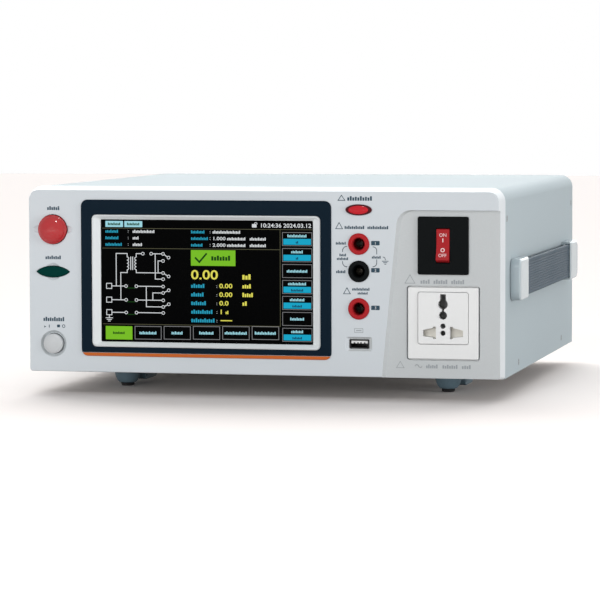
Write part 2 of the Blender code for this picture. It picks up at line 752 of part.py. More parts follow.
def line_switch(black, red):
    """The switch body with its plate, and the rocker, whose lower half stands out while it is on."""
    plate_front = FIELD_DEPTH - SWITCH_PROUD
    seat = FIELD_DEPTH - SEAT
    neck = grown(SWITCH_SIZE, -SWITCH_SHOULDER - SEAT)
    mouth = (ROCKER_WIDTH + 2 * SEAT, 2 * (ROCKER_RADIUS + SEAT))
    pivot = plate_front + ROCKER_PIVOT_DEPTH
    tail_turn = math.asin(ROCKER_TAIL / ROCKER_RADIUS)
    floor = pivot + ROCKER_RADIUS * math.sin(tail_turn + ROCKER_THROW) + SEAT
    edge = PLASTIC_EDGE
    rings = [
        (floor, rounded(mouth, SEAT, steps=2)),
        (plate_front, rounded(mouth, SEAT, steps=2)),
        (plate_front, rounded(grown(SWITCH_SIZE, -edge), SWITCH_CORNER - edge, steps=2)),
        (plate_front + edge, rounded(SWITCH_SIZE, SWITCH_CORNER, steps=2)),
        (seat, rounded(SWITCH_SIZE, SWITCH_CORNER, steps=2)),
        (seat, rounded(neck, SWITCH_CORNER - SEAT, steps=2)),
        (FIELD_DEPTH + SWITCH_LENGTH, rounded(neck, SWITCH_CORNER - SEAT, steps=2)),
    ]
    place = (OUTPUT_X, 0, SWITCH_HEIGHT)
    put("switch_body", loft("switch_body", rings), black, place)
    face = -(ROCKER_PIVOT_DEPTH + ROCKER_FACE)
    lean = (-math.sin(ROCKER_THROW), -math.cos(ROCKER_THROW))
    along = face * -lean[0]
    reach = along + math.sqrt(along * along - face * face + ROCKER_RADIUS * ROCKER_RADIUS)
    low = (face + lean[0] * reach, lean[1] * reach)
    high = (face, math.sqrt(ROCKER_RADIUS * ROCKER_RADIUS - face * face))
    tail = math.degrees(tail_turn)
    low_turn = math.degrees(math.atan2(low[1], low[0])) % 360
    high_turn = math.degrees(math.atan2(high[1], high[0]))
    profile = [(face, 0)]
    profile += arc((0, 0), ROCKER_RADIUS, low_turn, 270 + tail, 7)
    profile += arc((0, 0), ROCKER_RADIUS, 90 - tail, high_turn, 7)
    half = ROCKER_WIDTH / 2
    rocker = loft("rocker", [(-half, profile), (half, profile)], "X")
    put("rocker", rocker, red, (OUTPUT_X, pivot, SWITCH_HEIGHT))


def outlet(white, cream):
    """The outlet body with its plate, the raised insert with the pin holes, and the shutter behind it."""
    front = FIELD_DEPTH - OUTLET_PROUD
    flange_front = FIELD_BACK + SEAT
    flange_back = flange_front + OUTLET_FLANGE
    back = FIELD_DEPTH + OUTLET_LENGTH
    insert_front = front - INSERT_PROUD
    insert_back = insert_front + INSERT_THICKNESS
    place = (OUTPUT_X, 0, OUTLET_HEIGHT)
    centre = (0, INSERT_RAISE)
    opening = rounded(grown(INSERT_SIZE, SEAT), INSERT_CORNER + SEAT, centre, 4)
    half = INSERT_SIZE[0] / 2 - INSERT_LEDGE
    pocket_top = INSERT_RAISE + INSERT_SIZE[1] / 2 - INSERT_LEDGE
    shutter_base = -OUTLET_SIZE[1] / 2 + SHUTTER_MARGIN + SHUTTER_TRAVEL
    pocket = outline(-half, half, shutter_base - SHUTTER_TRAVEL - SEAT, pocket_top, 0.0010, 0.0010, 4)
    plate = rounded(OUTLET_SIZE, OUTLET_CORNER, steps=4)
    edge = PLASTIC_EDGE
    flange = rounded(grown(OUTLET_SIZE, OUTLET_FLANGE), OUTLET_CORNER, steps=4)
    rings = [
        (insert_back + SEAT, opening),
        (front, opening),
        (front, rounded(grown(OUTLET_SIZE, -edge), OUTLET_CORNER - edge / 2, steps=4)),
        (front + edge, plate),
        (flange_front, plate),
        (flange_front, flange),
        (flange_back, flange),
        (flange_back, plate),
        (back, plate),
    ]
    body = put("outlet_body", loft("outlet_body", rings), white, place)
    cut(body, tool("outlet_pocket", loft("pocket", [(insert_back, pocket), (back - OUTLET_FLOOR, pocket)]), place))
    insert_rings = [
        (insert_front, rounded(grown(INSERT_SIZE, -edge), INSERT_CORNER - edge, centre, 4)),
        (insert_front + edge, rounded(INSERT_SIZE, INSERT_CORNER, centre, 4)),
        (insert_back, rounded(INSERT_SIZE, INSERT_CORNER, centre, 4)),
    ]
    insert = put("outlet_insert", loft("outlet_insert", insert_rings), white, place)
    earth = INSERT_RAISE + EARTH_RISE
    neutral = INSERT_RAISE + NEUTRAL_RISE
    round_pin = (2 * PIN_HOLE_RADIUS, 2 * PIN_HOLE_RADIUS)
    holes = {
        "earth": oval((2 * EARTH_RADIUS, 2 * EARTH_RADIUS), (0, earth), 24),
        "earth_slot": rounded(EARTH_SLOT, SEAT, (0, earth + EARTH_SLOT_RISE), 2),
        "neck": rounded(NECK_SLOT, SEAT, (0, (earth + neutral) / 2), 2),
        "neutral": oval((2 * NEUTRAL_RADIUS, 2 * NEUTRAL_RADIUS), (0, neutral), 24),
        "upper_pin": oval(round_pin, (0, INSERT_RAISE - ROUND_PIN_DROPS[0]), 16),
        "lower_pin": oval(round_pin, (0, INSERT_RAISE - ROUND_PIN_DROPS[1]), 16),
        "left_pins": pin_slot(-1),
        "right_pins": pin_slot(1),
    }
    for name, points in holes.items():
        cutter = loft(name, [(insert_front - OVERLAP, points), (insert_back + OVERLAP, points)])
        cut(insert, tool("hole_" + name, cutter, place))
    wing_top = INSERT_RAISE - SLOT_TOP + SHUTTER_LAP
    wing_base = INSERT_RAISE - SLOT_BASE - SHUTTER_LAP
    outer = half - 2 * SEAT
    inner = SLOT_NEAR - SHUTTER_LAP
    shape = [
        (outer, shutter_base), (outer, wing_top), (inner, wing_top), (inner, wing_base),
        (-inner, wing_base), (-inner, wing_top), (-outer, wing_top), (-outer, shutter_base),
    ]
    shutter_front = insert_back + SEAT
    shutter = loft("outlet_shutter", [(shutter_front, shape), (shutter_front + SHUTTER_THICKNESS, shape)])
    put("outlet_shutter", shutter, cream, place, smooth=False)


def pin_slot(side):
    """The slot on one side: an upright blade slot that widens outwards for round and slanted pins."""
    near = SLOT_NEAR
    shoulder = near + BLADE_SLOT
    far = near + SLOT_REACH
    top = INSERT_RAISE - SLOT_TOP
    base = INSERT_RAISE - SLOT_BASE
    step = SLOT_STEP
    points = [
        (near, base), (shoulder, base), (shoulder, base + step), (far, base + 2 * step),
        (far, top - 3 * step), (shoulder, top - step), (shoulder, top), (near, top),
    ]
    return [(side * x, z) for x, z in points]


def cover(finish):
    """One folded sheet: the top and both sides, with rounded shoulders and inlet slots on the left."""
    def arch(inset):
        side = SKIN - inset
        top = SKIN_TOP - inset
        radius = CORNER_RADIUS - COVER_STEP - inset
        points = [(side, FLOOR)]
        points += arc((side - radius, top - radius), radius, 0, 90, 7)
        points += arc((-side + radius, top - radius), radius, 90, 180, 7)
        return points + [(-side, FLOOR)]

    section = arch(0) + arch(SHEET)[::-1]
    made = put("case_cover", loft("case_cover", [(COVER_FRONT, section), (CASE_DEPTH, section)]), finish)
    first = VENT_CENTRE[0] - VENT_PITCH * (VENT_COUNT - 1) / 2
    for i in range(VENT_COUNT):
        slot = rounded(VENT_SIZE, VENT_SIZE[0] / 2 - 0.0001, (first + i * VENT_PITCH, VENT_CENTRE[1]), 4)
        cut(made, tool(f"vent_{i}", loft("vent", [(-HALF - CUT_PAST, slot), (-INSIDE + CUT_PAST, slot)], "X")))


def chassis(finish):
    """The floor pan with upturned sides and the drawn bosses that carry the board."""
    side = INSIDE
    back = CASE_DEPTH - SEAT
    made = put("chassis", block("chassis", (-side, COVER_FRONT, FLOOR), (side, back, FLOOR_TOP)), finish,
               smooth=False)
    flange_front = RIM_DEPTH + LIP_LENGTH + 2 * SEAT
    outer = side - PAN_GAP
    inner = outer - SHEET
    for name, low, high in (("left", -outer, -inner), ("right", inner, outer)):
        wall = block(name, (low, flange_front, FLOOR + SHEET / 2), (high, REAR_BACK - SEAT, FLOOR + PAN_SIDE))
        join(made, tool("pan_side_" + name, wall))
    for i, (x, y) in enumerate(board_corners()):
        profile = [(FLOOR + SHEET / 2, BOSS_RADIUS * 1.4), (FLOOR_TOP + BOSS_HEIGHT, BOSS_RADIUS)]
        boss = turned("boss", profile, "Z", 16)
        join(made, tool(f"boss_{i}", boss, (x, y, 0)))


def board_corners():
    across = (BOARD_LEFT + BOSS_INSET, BOARD_RIGHT - BOSS_INSET)
    deep = (BOARD_FRONT + BOSS_INSET, BOARD_BACK - BOSS_INSET)
    return [(x, y) for x in across for y in deep]


def inner_parts(board, core):
    low = FLOOR_TOP + BOSS_HEIGHT + SEAT
    high = low + BOARD_THICKNESS
    plate = block("main_board", (BOARD_LEFT, BOARD_FRONT, low), (BOARD_RIGHT, BOARD_BACK, high))
    put("main_board", plate, board, smooth=False)
    width, depth, height = TRANSFORMER_SIZE
    x, y = TRANSFORMER_CENTRE
    base = FLOOR_TOP + SEAT
    made = put("transformer", block("transformer", (x - width / 2, y - depth / 2, base),
                                    (x + width / 2, y + depth / 2, base + height)), core, smooth=False)
    winding = rounded((width * 0.6, depth + 2 * COIL_BULGE), COIL_BULGE, (x, y), 4)
    limit = base + height * 0.18
    join(made, tool("winding", loft("winding", [(limit, winding), (base + height * 0.82, winding)], "Z")))


def rear_panel(finish):
    """The rear sheet inside the cover, with the air hole and the cut-outs of what it carries."""
    low = FLOOR_TOP + SEAT
    top = SKIN_TOP - SHEET - SEAT
    radius = CORNER_RADIUS - COVER_STEP - SHEET - SEAT
    shape = outline(-INSIDE, INSIDE, low, top, radius, 0.0010)
    made = put("rear_panel", loft("rear_panel", [(REAR_BACK, shape), (REAR_FACE, shape)]), finish)
    holes = {
        "air": oval((FAN_BORE, FAN_BORE), FAN_PLACE, 40),
        "supply": rounded(supply_neck(SEAT), CUTOUT_CORNER, (INLET_X, SUPPLY_HEIGHT - supply_shift()), 2),
        "line": rounded(grown(INLET_CAVITY, INLET_WALL + SEAT), CUTOUT_CORNER, (INLET_X, LINE_HEIGHT), 2),
        "serial": rounded(grown(SERIAL_SHELL, 2 * SEAT), CUTOUT_CORNER, (PORTS_X, SERIAL_HEIGHT), 2),
        "device": rounded(grown(DEVICE_BODY, SEAT), CUTOUT_CORNER, (PORTS_X, DEVICE_HEIGHT), 2),
        "post": oval(grown((POST_STUD, POST_STUD), SEAT), (POST_X, POST_HEIGHT), 20),
    }
    for name, points in holes.items():
        cutter = loft(name, [(REAR_BACK - CUT_PAST, points), (REAR_FACE + CUT_PAST, points)])
        cut(made, tool("rear_hole_" + name, cutter))


def supply_shift():
    """How far the middle of the supply inlet with its drawer lies below its cavity."""
    return (DRAWER_DROP - INLET_CAVITY[1] / 2 + DRAWER_SIZE[1] / 2) / 2


def supply_neck(clear):
    width, height = grown(INLET_CAVITY, INLET_WALL + clear)
    return (width, height + 2 * supply_shift())


def fan(shell, blades, wire):
    """The fan frame behind the air hole, its rotor on the hub, and the wire guard outside."""
    x, z = FAN_PLACE
    back = REAR_BACK - SEAT
    front = back - FAN_DEPTH
    square = rounded((FAN_SIZE, FAN_SIZE), FAN_CORNER, steps=4)
    bore = arc((0, 0), FAN_BORE / 2, -81, 279, 20)[:-1]
    ring = closed_ring("fan_frame", [(front, square), (back, square), (back, bore), (front, bore)])
    frame = put("fan_frame", ring, shell, (x, 0, z))
    hub_depth = FAN_MOTOR
    hub = turned("hub", [(front, FAN_HUB / 2), (front + hub_depth, FAN_HUB / 2)], count=20)
    join(frame, tool("fan_hub", hub, (x, 0, z)))
    reach = (FAN_BORE / 2 + FAN_SIZE / 2) / 2
    for i in range(4):
        low = (-FAN_STRUT / 2, front + PLASTIC_EDGE, FAN_HUB / 2 - OVERLAP)
        high = (FAN_STRUT / 2, front + hub_depth - PLASTIC_EDGE, reach)
        strut = tool(f"strut_{i}", block("strut", low, high), (x, 0, z))
        strut.rotation_euler.y = math.radians(90 * i)
        join(frame, strut)
    hub_front = front + hub_depth + SEAT
    hub_back = back - FAN_SETBACK
    profile = [(hub_front, FAN_HUB / 2 - HUB_EDGE), (hub_front + HUB_EDGE, FAN_HUB / 2),
               (hub_back - HUB_EDGE, FAN_HUB / 2), (hub_back, FAN_HUB / 2 - HUB_EDGE)]
    rotor = put("fan_rotor", turned("fan_rotor", profile, count=28), blades, (x, 0, z))
    for i in range(FAN_BLADES):
        blade = tool(f"blade_{i}", blade_mesh(hub_front + BLADE_INSET, hub_back - BLADE_INSET), (x, 0, z))
        blade.rotation_euler.y = 2 * math.pi * i / FAN_BLADES
        join(rotor, blade)
    ring_y = REAR_SEAT + GUARD_WIRE / 2
    guard = None
    for i, radius in enumerate(GUARD_RINGS):
        made = torus(f"ring_{i}", radius, GUARD_WIRE / 2)
        if guard is None:
            guard = put("fan_guard", made, wire, (x, ring_y, z))
        else:
            join(guard, tool(f"guard_ring_{i}", made, (x, ring_y, z)))
    for i in range(2):
        bar = loft("bar", [(-GUARD_REACH, oval((GUARD_WIRE, GUARD_WIRE), count=8)),
                           (GUARD_REACH, oval((GUARD_WIRE, GUARD_WIRE), count=8))], "X")
        spoke = tool(f"guard_bar_{i}", bar, (x, ring_y + 0.0001, z))
        spoke.rotation_euler.y = math.radians(45 + 90 * i)
        join(guard, spoke)


def blade_mesh(front, back):
    """One pitched blade: a thin section that turns as it runs out from the hub."""
    rings = []
    root = FAN_HUB / 2 - OVERLAP
    tip = FAN_BORE / 2 - BLADE_TIP_GAP
    middle = (front + back) / 2
    for share in (0, 0.35, 0.7, 1):
        reach = root + (tip - root) * share
        pitch = math.radians(52 - 16 * share)
        half = (back - front) / 2 / math.sin(math.radians(52))
        thin = BLADE_THICKNESS / 2
        section = []
        for along, across in ((-1, -1), (0, -1.6), (1, -1), (1, 1), (0, 0.4), (-1, 1)):
            a = along * half * math.cos(pitch) * 0.92
            b = along * half * math.sin(pitch) * 0.92
            section.append((a - across * thin * math.sin(pitch), middle + b + across * thin * math.cos(pitch)))
        rings.append((reach, section))
    return loft("blade", rings, "Z")


def torus(name, radius, wire, count=24, sides=6):
    rings = []
    for i in range(sides):
        t = 2 * math.pi * i / sides
        rings.append((wire * math.sin(t), oval((2 * (radius + wire * math.cos(t)),) * 2, count=count)))
    return closed_ring(name, rings)


def inlet(name, height, flange_height, shift, finish, with_drawer):
    """A mains inlet: the flange outside the rear sheet, the cavity and its three blades."""
    flange_back = REAR_SEAT + INLET_FLANGE_THICKNESS
    cavity = rounded(INLET_CAVITY, CAVITY_CORNER, steps=4)
    size = supply_neck(0) if with_drawer else grown(INLET_CAVITY, INLET_WALL)
    body = rounded(size, CUTOUT_CORNER, (0, -shift), 4)
    flange = rounded((INLET_FLANGE[0], flange_height), INLET_CORNER, (0, -shift), 4)
    edge = INLET_EDGE
    rim = rounded((INLET_FLANGE[0] - 2 * edge, flange_height - 2 * edge), INLET_CORNER - edge, (0, -shift), 4)
    rings = [
        (flange_back - INLET_DEPTH, cavity),
        (flange_back, cavity),
        (flange_back, rim),
        (flange_back - edge, flange),
        (REAR_SEAT, flange),
        (REAR_SEAT, body),
        (flange_back - INLET_LENGTH, body),
    ]
    place = (INLET_X, 0, height)
    made = put(name, loft(name, rings), finish, place)
    root = flange_back - INLET_DEPTH - OVERLAP / 2
    for i, (x, z) in enumerate(((-PIN_PITCH, -PIN_RISE), (0, PIN_RISE), (PIN_PITCH, -PIN_RISE))):
        blade = block("blade", (x - PIN_SIZE[0] / 2, root, z - PIN_SIZE[1] / 2),
                      (x + PIN_SIZE[0] / 2, root + PIN_LENGTH, z + PIN_SIZE[1] / 2))
        join(made, tool(f"{name}_pin_{i}", blade, place))
    return made, place, flange_back


def inlets(black):
    shift = supply_shift()
    supply, place, back = inlet("supply_inlet", SUPPLY_HEIGHT, SUPPLY_FLANGE_HEIGHT, shift, black, True)
    inlet("line_inlet", LINE_HEIGHT, INLET_FLANGE[1], 0, black, False)
    half = (DRAWER_SIZE[0] / 2, DRAWER_SIZE[1] / 2)
    pocket = block("pocket", (-half[0] - SEAT, back - DRAWER_LENGTH - SEAT, -DRAWER_DROP - half[1] - SEAT),
                   (half[0] + SEAT, back + CUT_PAST, -DRAWER_DROP + half[1] + SEAT))
    cut(supply, tool("drawer_pocket", pocket, place))
    place = (INLET_X, 0, SUPPLY_HEIGHT - DRAWER_DROP)
    rear = back - DRAWER_LENGTH
    lip = back + DRAWER_LIP
    drawer = block("fuse_drawer", (-half[0], rear, -half[1]), (half[0], lip, half[1]))
    made = put("fuse_drawer", drawer, black, place, smooth=False)
    tray = block("tray", (-half[0] + DRAWER_WALL, rear + DRAWER_WALL, -half[1] + DRAWER_WALL),
                 (half[0] - DRAWER_WALL, back - DRAWER_FACE, half[1] + OVERLAP))
    cut(made, tool("drawer_tray", tray, place))
    groove = oval((DRAWER_GRIP, DRAWER_GRIP), (lip, -half[1] - SEAT), 12)
    grip = loft("grip", [(-half[0] / 2, groove), (half[0] / 2, groove)], "X")
    cut(made, tool("drawer_grip", grip, place))


def rear_connectors(metal, black, brass):
    """Serial connector, device port and the earth post."""
    outer = REAR_SEAT + CONNECTOR_FLANGE
    root = outer - CONNECTOR_FLANGE / 2
    place = (PORTS_X, 0, SERIAL_HEIGHT)
    across, up = SERIAL_FLANGE[0] / 2, SERIAL_FLANGE[1] / 2
    made = put("serial_port", block("serial_port", (-across, REAR_SEAT, -up), (across, outer, up)), metal, place)
    across, up = SERIAL_SHELL[0] / 2, SERIAL_SHELL[1] / 2
    shell = [(across, up), (-across, up), (-across + SERIAL_SLANT, -up), (across - SERIAL_SLANT, -up)]
    join(made, tool("serial_shell", loft("serial_shell", [(root, shell), (outer + SERIAL_REACH, shell)]), place))
    inner = [(a * 0.99, b * 0.95) for a, b in shell]
    join(made, tool("serial_tail", loft("serial_tail", [(REAR_BACK - SERIAL_TAIL, inner), (root, inner)]), place))
    for side in (-1, 1):
        nut = turned("nut", [(root, SERIAL_NUT / 2), (outer + SERIAL_NUT_REACH, SERIAL_NUT / 2)], count=6)
        join(made, tool(f"serial_nut_{side}", nut, (PORTS_X + side * SERIAL_SCREWS / 2, 0, SERIAL_HEIGHT)))
    place = (PORTS_X, 0, DEVICE_HEIGHT)
    mouth = rounded(DEVICE_MOUTH, DEVICE_CORNER, steps=2)
    body = rounded(DEVICE_BODY, DEVICE_CORNER, steps=2)
    collar = rounded(DEVICE_COLLAR, DEVICE_CORNER, steps=2)
    back = REAR_BACK - DEVICE_LENGTH
    rings = [(back + DEVICE_FLOOR, mouth), (outer, mouth), (outer, collar), (REAR_SEAT, collar), (REAR_SEAT, body),
             (back, body)]
    port = put("device_port", loft("device_port", rings), metal, place)
    across, up = DEVICE_CORE[0] / 2, DEVICE_CORE[1] / 2
    core = block("core", (-across, back + DEVICE_FLOOR - CONNECTOR_FLANGE, -up), (across, REAR_SEAT, up))
    join(port, tool("device_core", core, place))
    nut_face = REAR_SEAT + POST_NUT_THICKNESS
    knob_face = nut_face + POST_GROOVE
    tip = REAR_SEAT + POST_LENGTH
    profile = [(REAR_BACK - SERIAL_TAIL, POST_STUD / 2), (REAR_SEAT, POST_STUD / 2), (REAR_SEAT, POST_NUT / 2),
               (nut_face, POST_NUT / 2), (nut_face, POST_STUD / 2), (knob_face, POST_STUD / 2),
               (knob_face, POST_KNOB / 2), (tip - POST_EDGE, POST_KNOB / 2), (tip, POST_KNOB / 2 - POST_EDGE)]
    put("earth_post", turned("earth_post", profile, count=20), brass, (POST_X, 0, POST_HEIGHT))


def side_handle(cap_finish, strap_finish):
    """Two end caps on the right side and the ribbed strap that is held between them."""
    half = HANDLE_HEIGHT / 2
    strap_low = CAP_BASE + (CAP_RISE - STRAP_THICKNESS) / 2 + COVER_STEP + SEAT
    strap_high = strap_low + STRAP_THICKNESS
    for name, side in (("front", -1), ("rear", 1)):
        outer = side * HANDLE_LENGTH / 2
        inner = outer - side * CAP_LENGTH

        def plan(inset):
            radius = CAP_CORNER - inset
            tip = outer - side * inset
            root = inner + side * inset
            height = half - inset
            corners = arc((abs(tip) - radius, height - radius), radius, 90, 0, 6)
            corners += [(a, -b) for a, b in reversed(corners)]
            return [(side * a, b) for a, b in corners] + [(root, -height), (root, height)]

        rings = [(CAP_BASE, plan(0)), (CAP_TOP - CAP_BEVEL, plan(0)),
                 (CAP_TOP - CAP_BEVEL * 0.3, plan(CAP_BEVEL * 0.7)), (CAP_TOP, plan(CAP_BEVEL * 1.5))]
        cap = put("handle_cap_" + name, loft("cap", rings, "X"), cap_finish, (0, HANDLE_Y, HANDLE_LEVEL))
        reach = inner + side * (STRAP_TUCK + OVERLAP)
        past = inner - side * CUT_PAST
        pocket = block("pocket", (strap_low - SEAT, min(reach, past), -STRAP_WIDTH / 2 - SEAT),
                       (strap_high + SEAT, max(reach, past), STRAP_WIDTH / 2 + SEAT))
        cut(cap, tool("cap_pocket_" + name, pocket, (0, HANDLE_Y, HANDLE_LEVEL)))
    length = HANDLE_LENGTH / 2 - CAP_LENGTH + STRAP_TUCK
    put("handle_strap", loft("handle_strap", [(-length, strap_section(strap_low, strap_high)),
                                              (length, strap_section(strap_low, strap_high))]),
        strap_finish, (0, HANDLE_Y, HANDLE_LEVEL))


def strap_section(low, high):
    """The strap across its width: a flat back, round edges and shallow ribs on the outer face."""
    half = STRAP_WIDTH / 2
    edge = STRAP_EDGE
    points = [(low, half - edge), (low, -half + edge)]
    points += arc((low + edge, -half + edge), edge, 200, 270, 2)
    points += arc((high - edge, -half + edge), edge, 270, 360, 3)
    pitch = (STRAP_WIDTH - 4 * edge) / STRAP_RIBS
    for i in range(STRAP_RIBS):
        start = -half + 2 * edge + i * pitch
        points += [(high, start + 0.10 * pitch), (high - RIB_DEPTH, start + 0.25 * pitch),
                   (high - RIB_DEPTH, start + 0.40 * pitch), (high, start + 0.55 * pitch)]
    points += arc((high - edge, half - edge), edge, 0, 90, 3)
    points += arc((low + edge, half - edge), edge, 90, 160, 2)
    return points


def feet(shell, rubber, leg_finish):
    """Four round feet with rubber pads; the front pair carries folding tilt legs on a pin."""
    top = FLOOR - SEAT
    flange_base = top - FOOT_FLANGE_THICKNESS
    pad_low = -FOOT_HEIGHT
    pad_seat = pad_low + PAD_THICKNESS
    for row, y in (("front", FOOT_FRONT), ("rear", FOOT_REAR)):
        for name, x in (("left", -FOOT_SPREAD), ("right", FOOT_SPREAD)):
            label = f"{row}_{name}"
            profile = [(top, FOOT_FLANGE), (flange_base + FOOT_EDGE, FOOT_FLANGE),
                       (flange_base, FOOT_FLANGE - FOOT_EDGE), (flange_base, FOOT_RADIUS)]
            deep = flange_base - pad_seat - SEAT
            for a in (15, 35, 55, 75):
                t = math.radians(a)
                shrink = (FOOT_RADIUS - PAD_RADIUS) * (1 - math.cos(t))
                profile.append((flange_base - deep * math.sin(t), FOOT_RADIUS - shrink))
            profile.append((pad_seat + SEAT, PAD_RADIUS))
            foot = put("foot_" + label, turned("foot_" + label, profile, "Z", 24), shell, (x, y, 0))
            pad = [(pad_seat, PAD_RADIUS), (pad_low + FOOT_EDGE, PAD_RADIUS), (pad_low, PAD_RADIUS - FOOT_EDGE)]
            put("pad_" + label, turned("pad_" + label, pad, "Z", 16), rubber, (x, y, 0))
            if row == "front":
                tilt_leg(name, foot, (x, y), top, flange_base, leg_finish)


def tilt_leg(name, foot, place, top, flange_base, finish):
    x, y = place
    axis = (x, y + LEG_OFFSET, -LEG_DROP)
    inset = PLASTIC_EDGE
    arm = LEG_WIDTH / 2
    past = OVERLAP / 2
    back = LEG_OFFSET + LEG_LENGTH
    base = block("base", (-arm + inset, 0, flange_base + inset), (arm - inset, back, top - inset))
    join(foot, tool("leg_base_" + name, base, (x, y, 0)))
    radius = LEG_ROOT - 2 * inset
    lug_top = LEG_DROP + flange_base + past
    lug_shape = arc((0, 0), radius, 180, 360, 8) + [(radius, lug_top), (-radius, lug_top)]
    lug = loft("lug", [(-LEG_LUG / 2, lug_shape), (LEG_LUG / 2, lug_shape)], "X")
    join(foot, tool("leg_lug_" + name, lug, axis))
    reach = arm - 2 * inset
    pin = loft("pin", [(-reach, oval((2 * LEG_PIN, 2 * LEG_PIN), count=14)),
                       (reach, oval((2 * LEG_PIN, 2 * LEG_PIN), count=14))], "X")
    join(foot, tool("leg_pin_" + name, pin, axis))
    profile = arc((0, 0), LEG_ROOT, 90, 270, 10)
    profile += [(LEG_ROOT, -LEG_ROOT)]
    profile += arc((LEG_LENGTH - LEG_TIP, -LEG_ROOT + LEG_TIP), LEG_TIP, 270, 450, 8)
    leg = put("tilt_leg_" + name, loft("leg", [(-arm, profile), (arm, profile)], "X"), finish, axis)
    notch = block("notch", (-LEG_LUG / 2 - SEAT, -LEG_ROOT - past, -LEG_ROOT - past),
                  (LEG_LUG / 2 + SEAT, LEG_ROOT + past, LEG_ROOT + past))
    cut(leg, tool("leg_notch_" + name, notch, axis))
    bore_size = 2 * (LEG_PIN + LEG_PIN_GAP)
    bore = loft("bore", [(-arm - OVERLAP, oval((bore_size, bore_size), count=14)),
                         (arm + OVERLAP, oval((bore_size, bore_size), count=14))], "X")
    cut(leg, tool("leg_bore_" + name, bore, axis))


def build():
    light = material("moulded_grey", LIGHT_GREY, 0.45)
    sheet = material("cover_grey", COVER_GREY, 0.50)
    navy = material("navy", NAVY, 0.30)
    orange = material("orange", ORANGE, 0.40)
    glass = material("screen_glass", BLACK, 0.12)
    red = material("red_plastic", RED, 0.25)
    green = material("green_plastic", GREEN, 0.35)
    black = material("black_plastic", BLACK, 0.40)
    white = material("white_plastic", WHITE, 0.35)
    cream = material("cream_plastic", CREAM, 0.45)
    strap = material("strap_blue", STRAP_BLUE, 0.50)
    slate = material("slate_plastic", SLATE, 0.50)
    steel = material("steel", STEEL, 0.30, 1.0)
    zinc = material("zinc_sheet", ZINC, 0.45, 1.0)
    board = material("board_green", BOARD_GREEN, 0.50)
    front_bezel(light)
    display(navy, orange, light, glass)
    buttons(red, green, white, black)
    danger_lamp(red)
    test_jacks(red, black, steel)
    host_port(steel, white)
    line_switch(black, red)
    outlet(white, cream)
    cover(sheet)
    chassis(zinc)
    rear_panel(sheet)
    fan(black, black, steel)
    inlets(black)
    rear_connectors(steel, black, steel)
    side_handle(light, strap)
    feet(slate, black, slate)
    inner_parts(board, zinc)


clear_scene()
INSTRUMENT = bpy.data.objects.new("instrument", None)
bpy.context.scene.collection.objects.link(INSTRUMENT)
INSTRUMENT.location = (-CENTRE_X, -CENTRE_Y, FOOT_HEIGHT)
build()
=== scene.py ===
# %% [markdown]
# # A bench safety tester
#
# The frame holds the tester's real pieces at their real size: a moulded front with a colour screen, push
# buttons, test jacks, a line switch and a mains outlet, a folded sheet cover, a strap handle, feet and the
# rear panel. This lesson gives them their finish and adds the fine things that the frame leaves out: printed
# marks, the picture on the screen, screws and contacts. Lengths are in metres, +Z is up and the front looks
# along -Y.

# %% The frame and its box
import json
import math

import bpy
from mathutils import Euler, Matrix, Vector

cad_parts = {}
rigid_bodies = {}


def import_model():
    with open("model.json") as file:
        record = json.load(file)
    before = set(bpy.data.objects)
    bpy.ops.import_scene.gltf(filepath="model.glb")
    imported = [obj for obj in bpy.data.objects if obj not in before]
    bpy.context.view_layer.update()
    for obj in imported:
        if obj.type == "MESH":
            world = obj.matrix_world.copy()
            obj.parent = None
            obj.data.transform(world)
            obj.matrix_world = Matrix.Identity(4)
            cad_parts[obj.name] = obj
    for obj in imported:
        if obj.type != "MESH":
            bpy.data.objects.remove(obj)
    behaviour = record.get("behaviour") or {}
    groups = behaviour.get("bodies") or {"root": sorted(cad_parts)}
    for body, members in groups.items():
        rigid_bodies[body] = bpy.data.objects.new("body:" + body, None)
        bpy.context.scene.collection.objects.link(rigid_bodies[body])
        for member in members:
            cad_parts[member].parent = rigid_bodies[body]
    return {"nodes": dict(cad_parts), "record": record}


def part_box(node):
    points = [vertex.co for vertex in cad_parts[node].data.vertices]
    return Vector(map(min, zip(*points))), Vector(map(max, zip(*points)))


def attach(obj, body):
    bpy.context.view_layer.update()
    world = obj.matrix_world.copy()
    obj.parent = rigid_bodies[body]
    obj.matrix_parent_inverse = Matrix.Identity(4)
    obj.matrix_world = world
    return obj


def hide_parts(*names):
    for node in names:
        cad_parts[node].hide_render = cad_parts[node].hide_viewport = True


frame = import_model()
nodes = frame["nodes"]
body_of = {n: b for b, names in frame["record"]["behaviour"]["bodies"].items() for n in names}
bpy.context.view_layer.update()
mm = 0.001

# %% [markdown]
# The photograph was taken from far away with a long lens, a little to the right of the tester and a little
# above it, so the sides hardly converge. A long focal length and a far camera give that flat look; a short
# lens close by would make the front bulge. The lens was found in dots of the picture and is scaled to the
# millimetres of a film.

# %% Camera
film_width, picture_width, lens_in_dots = 36, 600, 3090.49
below_level, tilt, to_the_left = 3.824, 0.14, 13.091


def in_scene(name, data):
    """A new object that holds some data, in the scene."""
    made = bpy.data.objects.new(name, data)
    bpy.context.scene.collection.objects.link(made)
    return made


lens = bpy.data.cameras.new("camera")
lens.sensor_width = film_width
lens.lens = film_width * lens_in_dots / picture_width
lens.shift_x = -0.00908
lens.shift_y = -0.00941
lens.clip_end = 20
camera = in_scene("camera", lens)
camera.location = (0.49642, -2.17912, 0.20906)
camera.rotation_euler = Euler([math.radians(angle) for angle in (90 - below_level, tilt, to_the_left)])
bpy.context.scene.camera = camera
print("lens", round(lens.lens, 1), "mm")

# %% [markdown]
# The picture has a plain white ground, and that ground isn't light on the object. The world is white only
# to rays that are seen, straight, in a reflection or through glass, and dim to all others. The floor's paper
# is brighter to the same rays. Both ask the Light Path node which kind of ray has come.

